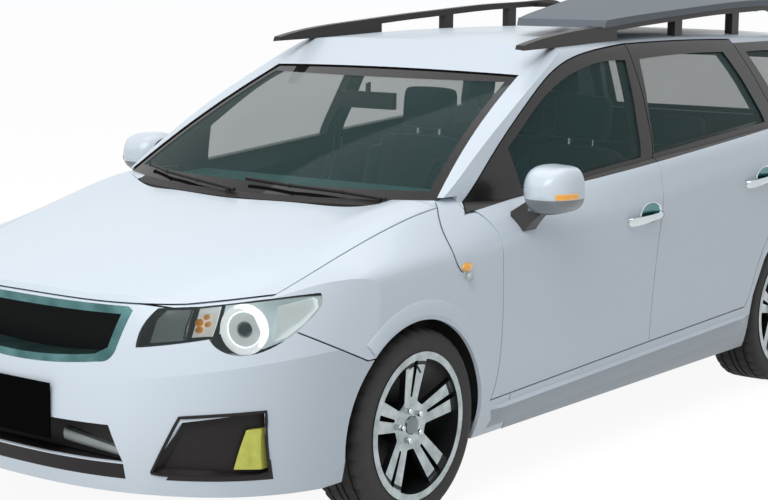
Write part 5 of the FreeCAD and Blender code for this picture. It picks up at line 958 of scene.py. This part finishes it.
# The door handle: half the cup's length and height, rings as (scale, lift), and the grip's stations as
# (place along the car, lift, half the height), with its drop below the cup's middle and half its thickness
CUP_REACH, CUP_STEPS, GRIP_STEPS = (0.078, 0.037), 48, 12
CUP_RING = ((1.0, 0.0004), (1.04, 0.004), (0.97, 0.0075), (0.88, 0.005), (0.84, 0.0015))
CUP_DISH = ((0.86, 0.0035), (0.6, 0.0022), (0.3, 0.0016), (0.05, 0.0015))
GRIP_STATIONS = ((-0.165, 0.004, 0.012), (-0.158, 0.020, 0.015), (-0.12, 0.030, 0.015), (-0.05, 0.034, 0.013),
                 (0.02, 0.034, 0.012), (0.055, 0.028, 0.012), (0.070, 0.014, 0.011), (0.075, 0.002, 0.009))
GRIP_DROP, GRIP_HALF, GRIP_SINK = 0.012, 0.006, 0.004


def add_handle(side, place, yf, z, slope):
    """An oval bright cup with a grip across it."""
    node, body = "%s_door_left" % place, "%s_door_%s" % (place, side)
    middle = (at(yf), z)

    def handle_part(part, vertices, faces, look):
        name = "%s_handle_%s" % (body, part)
        add_piece(name, vertices, faces, look, body, "mirror_shell", mirror=SIDES[side])

    ring = oval_rings(node, middle, CUP_REACH, CUP_RING, CUP_STEPS, slope)
    handle_part("ring", ring, grid_faces(len(CUP_RING), CUP_STEPS, closed=True), "chrome")
    dish = oval_rings(node, middle, CUP_REACH, CUP_DISH, CUP_STEPS, slope)
    handle_part("dish", dish, capped(len(CUP_DISH), CUP_STEPS), "teal_chrome")
    grip = []
    for dy, lift, half in GRIP_STATIONS:
        y, height = at(yf) + dy, z - GRIP_DROP + slope * dy
        x = side_point(node, y, height).x + lift
        for k in range(GRIP_STEPS):
            angle = math.tau * k / GRIP_STEPS
            across, up = math.cos(angle) * GRIP_HALF - GRIP_SINK, math.sin(angle) * half
            grip.append(Vector((x + across, y, height + up)))
    faces = grid_faces(len(GRIP_STATIONS), GRIP_STEPS, closed=True, ends=True)
    handle_part("grip", grip, faces, "chrome")


# The repeater on the fender and the knob under it: places as (behind the front axle, height), half the
# repeater's length and height, its rings as (scale, lift), and the knob's profile as (radius, length)
REPEATER_PLACE, REPEATER_REACH, REPEATER_STEPS = (0.228, 0.785), (0.026, 0.014), 32
REPEATER_RINGS = ((1.0, 0.0003), (0.94, 0.005), (0.6, 0.0085), (0.1, 0.0095))
KNOB_PLACE, KNOB_LIFT = (0.227, 0.7545), 0.001
KNOB_PROFILE = ((0.006, 0), (0.012, 0.004), (0.0145, 0.011), (0.012, 0.018), (0.006, 0.022), (0.002, 0.0228))
# The seam behind the bonnet's corner: X, place behind the front axle, height
FENDER_SEAM = ((0.693, 0.261, 0.974), (0.708, 0.250, 0.964), (0.738, 0.218, 0.940), (0.764, 0.1945, 0.9125),
               (0.784, 0.182, 0.893), (0.802, 0.174, 0.8735), (0.822, 0.1685, 0.849), (0.837, 0.167, 0.825),
               (0.842, 0.176, 0.799), (0.845, 0.1925, 0.7776), (0.8453, 0.206, 0.771))
SEAM_LIFT, SEAM_WIDTH, SEAM_THICKNESS = 0.0008, 0.0045, 0.0012


def add_fender_parts(side):
    """The side repeater, the knob and the seam on a front fender."""
    sign = SIDES[side]
    middle = (at(REPEATER_PLACE[0]), REPEATER_PLACE[1])
    lens = oval_rings("front_fenders", middle, REPEATER_REACH, REPEATER_RINGS, REPEATER_STEPS)
    faces = capped(len(REPEATER_RINGS), REPEATER_STEPS)
    add_piece("repeater_" + side, lens, faces, "amber", "car_body", "lamp", mirror=sign)
    # The knob has the smoke look, whose glow is painted light.
    start = side_point("front_fenders", at(KNOB_PLACE[0]), KNOB_PLACE[1], KNOB_LIFT)
    knob = turned(KNOB_PROFILE, start, (1, 0, 0), 24)
    add_piece("fender_knob_" + side, *knob, "smoke", "car_body", "black_trim", mirror=sign)
    out = Vector((1, 0, 0.6)).normalized()
    points = [(nearest("front_fenders", (x, at(yf), z), out, SEAM_LIFT), out) for x, yf, z in FENDER_SEAM]
    seam = surface_ribbon(points, SEAM_WIDTH, SEAM_THICKNESS)
    add_piece("fender_seam_" + side, *seam, "line", "car_body", "black_trim", mirror=sign)


# The bands round the wheel arches: place, the node they lie on, Y of the middle, inner radius, and the
# angles in degrees of both ends; and their section as (beyond the inner radius, lift)
FLARES = (("front", "front_fenders", FRONT_AXLE_Y - 0.020, 0.353, (16, 166)),
          ("rear", "body_side_left", REAR_AXLE_Y, 0.355, (14, 166)))
FLARE_SECTION = ((0, 0.0004), (0.003, 0.006), (0.040, 0.0065), (0.052, 0.0004))
# The sill's moulding: both ends behind the front axle, where the fender ends, and its section as (above the
# crease, lift), whose rounded lifts above SKIRT_FLAT fade out at the ends
SKIRT_ENDS, SKIRT_SEAM, SKIRT_FLAT = (0.392, 2.245), 0.498, 0.001
SKIRT_SECTION = ((0.012, 0.0004), (0.001, 0.014), (-0.006, 0.015), (-0.060, 0.005), (-0.064, 0.0004))
STATIONS = 60


def add_arch_flare(side):
    """A low raised band round each wheel arch."""
    for place, node, centre_y, inner, angles in FLARES:
        rows = []
        for k in range(STATIONS + 1):
            angle = math.radians(blend(angles, k / STATIONS))
            fade = math.sin(math.pi * k / STATIONS) ** 0.5
            row = [side_point(node, centre_y + math.cos(angle) * (inner + beyond),
                              WHEEL_Z + math.sin(angle) * (inner + beyond), lift * fade)
                   for beyond, lift in FLARE_SECTION]
            if all(row):
                rows.append(row)
        vertices = [point for row in rows for point in row]
        faces = grid_faces(len(rows), len(FLARE_SECTION))
        add_piece("arch_flare_%s_%s" % (place, side), vertices, faces, "bare", "car_body", "paint",
                  mirror=SIDES[side])


def add_skirt(side):
    """The sill's moulding: a narrow shelf along its crease, and a face that falls back below it."""
    rows = []
    for k in range(STATIONS + 1):
        yf = blend(SKIRT_ENDS, k / STATIONS)
        node = "front_fenders" if yf < SKIRT_SEAM else "body_side_left"
        crease = SKIRT_HEIGHT + SKIRT_SLOPE * yf
        fade = min(1.0, min(k, STATIONS - k) / 2)
        row = [side_point(node, at(yf), crease + rise, lift * fade if lift > SKIRT_FLAT else lift)
               for rise, lift in SKIRT_SECTION]
        if all(row):
            rows.append(row)
    vertices = [point for row in rows for point in row]
    faces = grid_faces(len(rows), len(SKIRT_SECTION))
    add_piece("sill_skirt_" + side, vertices, faces, "side", "car_body", "paint", mirror=SIDES[side])


add_front_bars()
add_fog_frames()
for side in SIDES:
    add_handle(side, "front", 1.405, 0.842, 0.055)
    add_handle(side, "rear", 2.345, 0.902, 0.075)
    add_fender_parts(side)
    add_arch_flare(side)
    add_skirt(side)


# The mirror's glass: X of its inner edge, height of its middle, half its width and height, how square its
# outline is, and its thickness. The indicator: its middle, angles in degrees, and section as (lift, height)
GLASS_INNER_X, GLASS_Z, GLASS_HALF, GLASS_POWER, GLASS_THICKNESS = 0.845, 1.004, (0.073, 0.058), 0.7, 0.002
GLASS_OVERLAP, GLASS_STEPS = 0.0005, 40
INDICATOR_MIDDLE, INDICATOR_ANGLES, INDICATOR_STEPS = (0.925, at(0.60)), (-52, 6), 12
INDICATOR_SECTION = ((0.0, 0.979), (0.003, 0.982), (0.003, 0.996), (0.0, 0.999))
INDICATOR_START = 0.5


def squared(value):
    """A cosine or sine that stays longer near its ends, for an oval with fuller corners."""
    return abs(value) ** GLASS_POWER * math.copysign(1, value)


def add_mirror_parts(side):
    """The mirror's glass, and the yellow indicator round its outer front corner."""
    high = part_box("door_mirror_left")[1]
    body = "front_door_" + side
    centre = Vector(((GLASS_INNER_X + high.x) / 2, high.y, GLASS_Z))
    outline = []
    for k in range(GLASS_STEPS):
        angle = math.tau * k / GLASS_STEPS
        wide, tall = squared(math.cos(angle)) * GLASS_HALF[0], squared(math.sin(angle)) * GLASS_HALF[1]
        outline.append((centre.x + wide, centre.y - GLASS_OVERLAP, centre.z + tall))
    pane = slab(outline, GLASS_THICKNESS)
    add_piece("mirror_glass_" + side, *pane, "mirror_glass", body, "mirror_shell", mirror=SIDES[side])
    points = []
    for k in range(INDICATOR_STEPS + 1):
        angle = math.radians(blend(INDICATOR_ANGLES, k / INDICATOR_STEPS))
        aim = Vector((math.cos(angle), math.sin(angle), 0))
        for lift, z in INDICATOR_SECTION:
            start = Vector((*INDICATOR_MIDDLE, z)) + aim * INDICATOR_START
            hit = tree_of("door_mirror_left").ray_cast(start, -aim)[0]
            points.append(hit + aim * lift if hit is not None else start)
    faces = grid_faces(INDICATOR_STEPS + 1, len(INDICATOR_SECTION))
    add_piece("mirror_indicator_" + side, points, faces, "amber", body, "lamp", mirror=SIDES[side])


for side in SIDES:
    add_mirror_parts(side)


PAD_CELLS, PAD_CORNER, PAD_GROOVE = 14, 0.055, 0.010


def rounded_pad(name, size, centre, lean, crown, look, channels=0):
    """A crowned pad: a box of many faces that swell, with rounded corners and sewn channels on top."""
    tool = bmesh.new()
    bmesh.ops.create_cube(tool, size=1.0)
    bmesh.ops.subdivide_edges(tool, edges=tool.edges[:], cuts=PAD_CELLS, use_grid_fill=True)
    for v in tool.verts:
        u = Vector((2 * v.co.x, 2 * v.co.y, 2 * v.co.z))
        bulge = [(1 - u[(a + 1) % 3] ** 2) * (1 - u[(a + 2) % 3] ** 2) for a in range(3)]
        near = [abs(value) ** 6 for value in u]
        round_off = 1 - PAD_CORNER * (near[0] * near[1] + near[1] * near[2] + near[2] * near[0])
        for a in range(3):
            v.co[a] = (u[a] * (1 + crown[a] * bulge[a]) * round_off) * size[a] / 2
        if channels and u.z > 0:
            groove = 0.5 + 0.5 * math.cos(math.tau * channels * u[1] / 2)
            v.co.z -= PAD_GROOVE * groove ** 8 * (1 - abs(u.x) ** 4)
    turn = Matrix.Rotation(lean, 4, "X")
    bmesh.ops.transform(tool, matrix=Matrix.Translation(centre) @ turn, verts=tool.verts)
    mesh = bpy.data.meshes.new(name)
    tool.to_mesh(mesh)
    tool.free()
    mesh.materials.append(M[look])
    mesh.polygons.foreach_set("use_smooth", [True] * len(mesh.polygons))
    return link(name, mesh)


PUFF_CAP, PUFF_PRESSURE, PUFF_FRAMES = 0.008, 4.0, 20


def puff(piece, voxel):
    """Swells a pad as padded cloth by a short simulation, then keeps the result as its mesh."""
    view = bpy.context.view_layer
    remesh = piece.modifiers.new("remesh", "REMESH")
    remesh.mode = "VOXEL"
    remesh.voxel_size = voxel
    view.objects.active = piece
    for other in view.objects:
        other.select_set(other is piece)
    bpy.ops.object.modifier_apply(modifier=remesh.name)
    rest = [v.co.copy() for v in piece.data.vertices]
    cloth = piece.modifiers.new("cloth", "CLOTH")
    cloth.settings.use_pressure = True
    cloth.settings.uniform_pressure_force = PUFF_PRESSURE
    cloth.settings.effector_weights.gravity = 0.0
    cloth.settings.quality = 5
    cloth.point_cache.frame_start = 1
    cloth.point_cache.frame_end = PUFF_FRAMES
    scene = bpy.context.scene
    for step in range(1, PUFF_FRAMES + 1):
        scene.frame_set(step)
    shape = piece.evaluated_get(bpy.context.evaluated_depsgraph_get())
    moved = [v.co.copy() for v in shape.to_mesh().vertices]
    shape.to_mesh_clear()
    piece.modifiers.remove(cloth)
    scene.frame_set(1)
    for vertex, start, end in zip(piece.data.vertices, rest, moved):
        shift = end - start
        if shift.length > PUFF_CAP:
            shift = shift.normalized() * PUFF_CAP
        vertex.co = start + shift
    piece.data.polygons.foreach_set("use_smooth", [True] * len(piece.data.polygons))


def finish_pad(piece, replaced=None):
    smooth = piece.modifiers.new("smooth", "SUBSURF")
    smooth.levels = smooth.render_levels = 1
    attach(piece, "car_body")
    if replaced:
        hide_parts(replaced)


def copy_piece(piece, name, shift):
    twin = piece.copy()
    twin.data = piece.data.copy()
    twin.name = name
    twin.data.transform(Matrix.Translation(shift))
    bpy.context.scene.collection.objects.link(twin)
    return twin


# Pads as (part, size, centre, lean in radians, crown, look, channels), and the size of the cells that a
# front and a rear pad are remeshed with before they swell
SEAT_X, SEAT_VOXEL, REAR_VOXEL = 0.370, 0.014, 0.02
SEAT_PADS = [
    ("cushion", (0.445, 0.50, 0.105), (SEAT_X, at(1.285), 0.468), -0.06, (0.03, 0.03, 0.18), "seat", 3),
    ("back", (0.430, 0.100, 0.54), (SEAT_X, at(1.598), 0.780), -0.26, (0.02, 0.16, 0.03), "seat", 0),
    ("headrest", (0.235, 0.066, 0.165), (SEAT_X, at(1.703), 1.150), -0.10, (0.05, 0.25, 0.06), "seat_side", 0),
]
SEAT_PADS += [("bolster_" + part, (0.060, 0.115, 0.46), (SEAT_X + shift, at(1.572), 0.760), -0.26,
               (0.2, 0.1, 0.02), "seat_side", 0) for part, shift in (("inner", -0.195), ("outer", 0.195))]
REAR_PADS = [
    ("rear_cushion", (1.16, 0.50, 0.125), (0, at(2.045), 0.440), -0.02, (0.01, 0.03, 0.16), "seat", 3),
    ("rear_back", (1.16, 0.105, 0.50), (0, at(2.318), 0.755), -0.22, (0.01, 0.16, 0.03), "seat", 0),
]
REAR_HEADRESTS = [("rear_headrest_%d" % k, (0.26, 0.07, 0.13), (x, at(2.405), 1.050), -0.15,
                   (0.05, 0.25, 0.06), "seat_side") for k, x in enumerate((-0.40, 0.40))]
for part, *values in SEAT_PADS:
    left = rounded_pad("seat_%s_left" % part, *values)
    if part in ("cushion", "back"):
        puff(left, SEAT_VOXEL)
    twin = copy_piece(left, "seat_%s_right" % part, Vector((-2 * SEAT_X, 0, 0)))
    for piece in (left, twin):
        finish_pad(piece, "front_seats" if part == "cushion" else None)
for part, *values in REAR_PADS:
    piece = rounded_pad(part, *values)
    puff(piece, REAR_VOXEL)
    finish_pad(piece, "rear_seat" if part == "rear_cushion" else None)
for values in REAR_HEADRESTS:
    finish_pad(rounded_pad(*values))
# The headrests' posts: half their distance, lower and upper end, and radius
POST_SHIFT, POST_ENDS, POST_RADIUS = 0.055, ((at(1.690), 0.98), (at(1.703), 1.14)), 0.006
for side, sign in SIDES.items():
    posts = [tube([(SEAT_X + dx, *end) for end in POST_ENDS], POST_RADIUS) for dx in (-POST_SHIFT, POST_SHIFT)]
    add_piece("headrest_posts_" + side, *join(posts), "chrome", "car_body", "steel", mirror=sign)


# The surroundings: half the floor's size and its depth under the tyres, its grey and its glow, how much of
# the glow is seen, and how bright the sky lights the car
FLOOR_HALF, FLOOR_DEPTH, FLOOR_GREY, FLOOR_GLOW, FLOOR_SEEN = 60, 0.0005, (0.80, 0.80, 0.80, 1), 1.16, 0.80
SKY, AMBIENT = (0.97, 0.985, 1.0, 1), 0.33


def seen(graph):
    """Whether light goes straight to the camera, or there by a reflection or through glass."""
    path = graph.add("ShaderNodeLightPath").outputs
    return graph.either(path["Is Camera Ray"], graph.either(path["Is Glossy Ray"], path["Is Transmission Ray"]))


def add_floor():
    mesh = bpy.data.meshes.new("floor")
    corners = [(x * FLOOR_HALF, y * FLOOR_HALF, 0) for x, y in ((-1, -1), (1, -1), (1, 1), (-1, 1))]
    mesh.from_pydata(corners, [], [(0, 1, 2, 3)])
    floor = link("floor", mesh)
    floor.location.z = -FLOOR_DEPTH
    material = bpy.data.materials.new("floor")
    graph = Graph(material, "ShaderNodeOutputMaterial")
    kinds = ("BsdfDiffuse", "Emission", "MixShader")
    diffuse, glow, mixed = (graph.add("ShaderNode" + kind) for kind in kinds)
    graph.put(FLOOR_GREY, diffuse.inputs[0])
    graph.put((1, 1, 1, 1), glow.inputs[0])
    graph.put(FLOOR_GLOW, glow.inputs[1])
    graph.put(graph.times(seen(graph), FLOOR_SEEN), mixed.inputs[0])
    graph.put(diffuse.outputs[0], mixed.inputs[1])
    graph.put(glow.outputs[0], mixed.inputs[2])
    graph.put(mixed.outputs[0], graph.output.inputs[0])
    mesh.materials.append(material)


def set_world():
    world = bpy.data.worlds.new("world")
    bpy.context.scene.world = world
    graph = Graph(world, "ShaderNodeOutputWorld")
    background = graph.add("ShaderNodeBackground")
    graph.put(SKY, background.inputs[0])
    graph.put(graph.mix_value(seen(graph), AMBIENT, 1.0), background.inputs[1])
    graph.put(background.outputs[0], graph.output.inputs[0])


set_world()
add_floor()
add_light("key", (1.4, -5.8, 6.0), (0, 0, 0.8), (5.0, 5.0), 330, (1.0, 0.99, 0.97))
add_light("top", (-1.0, 1.0, 7.5), (0, 0, 1.0), (6.0, 6.0), 130, (0.96, 0.98, 1.0))
set_camera()
bpy.context.scene.view_settings.view_transform = "Standard"
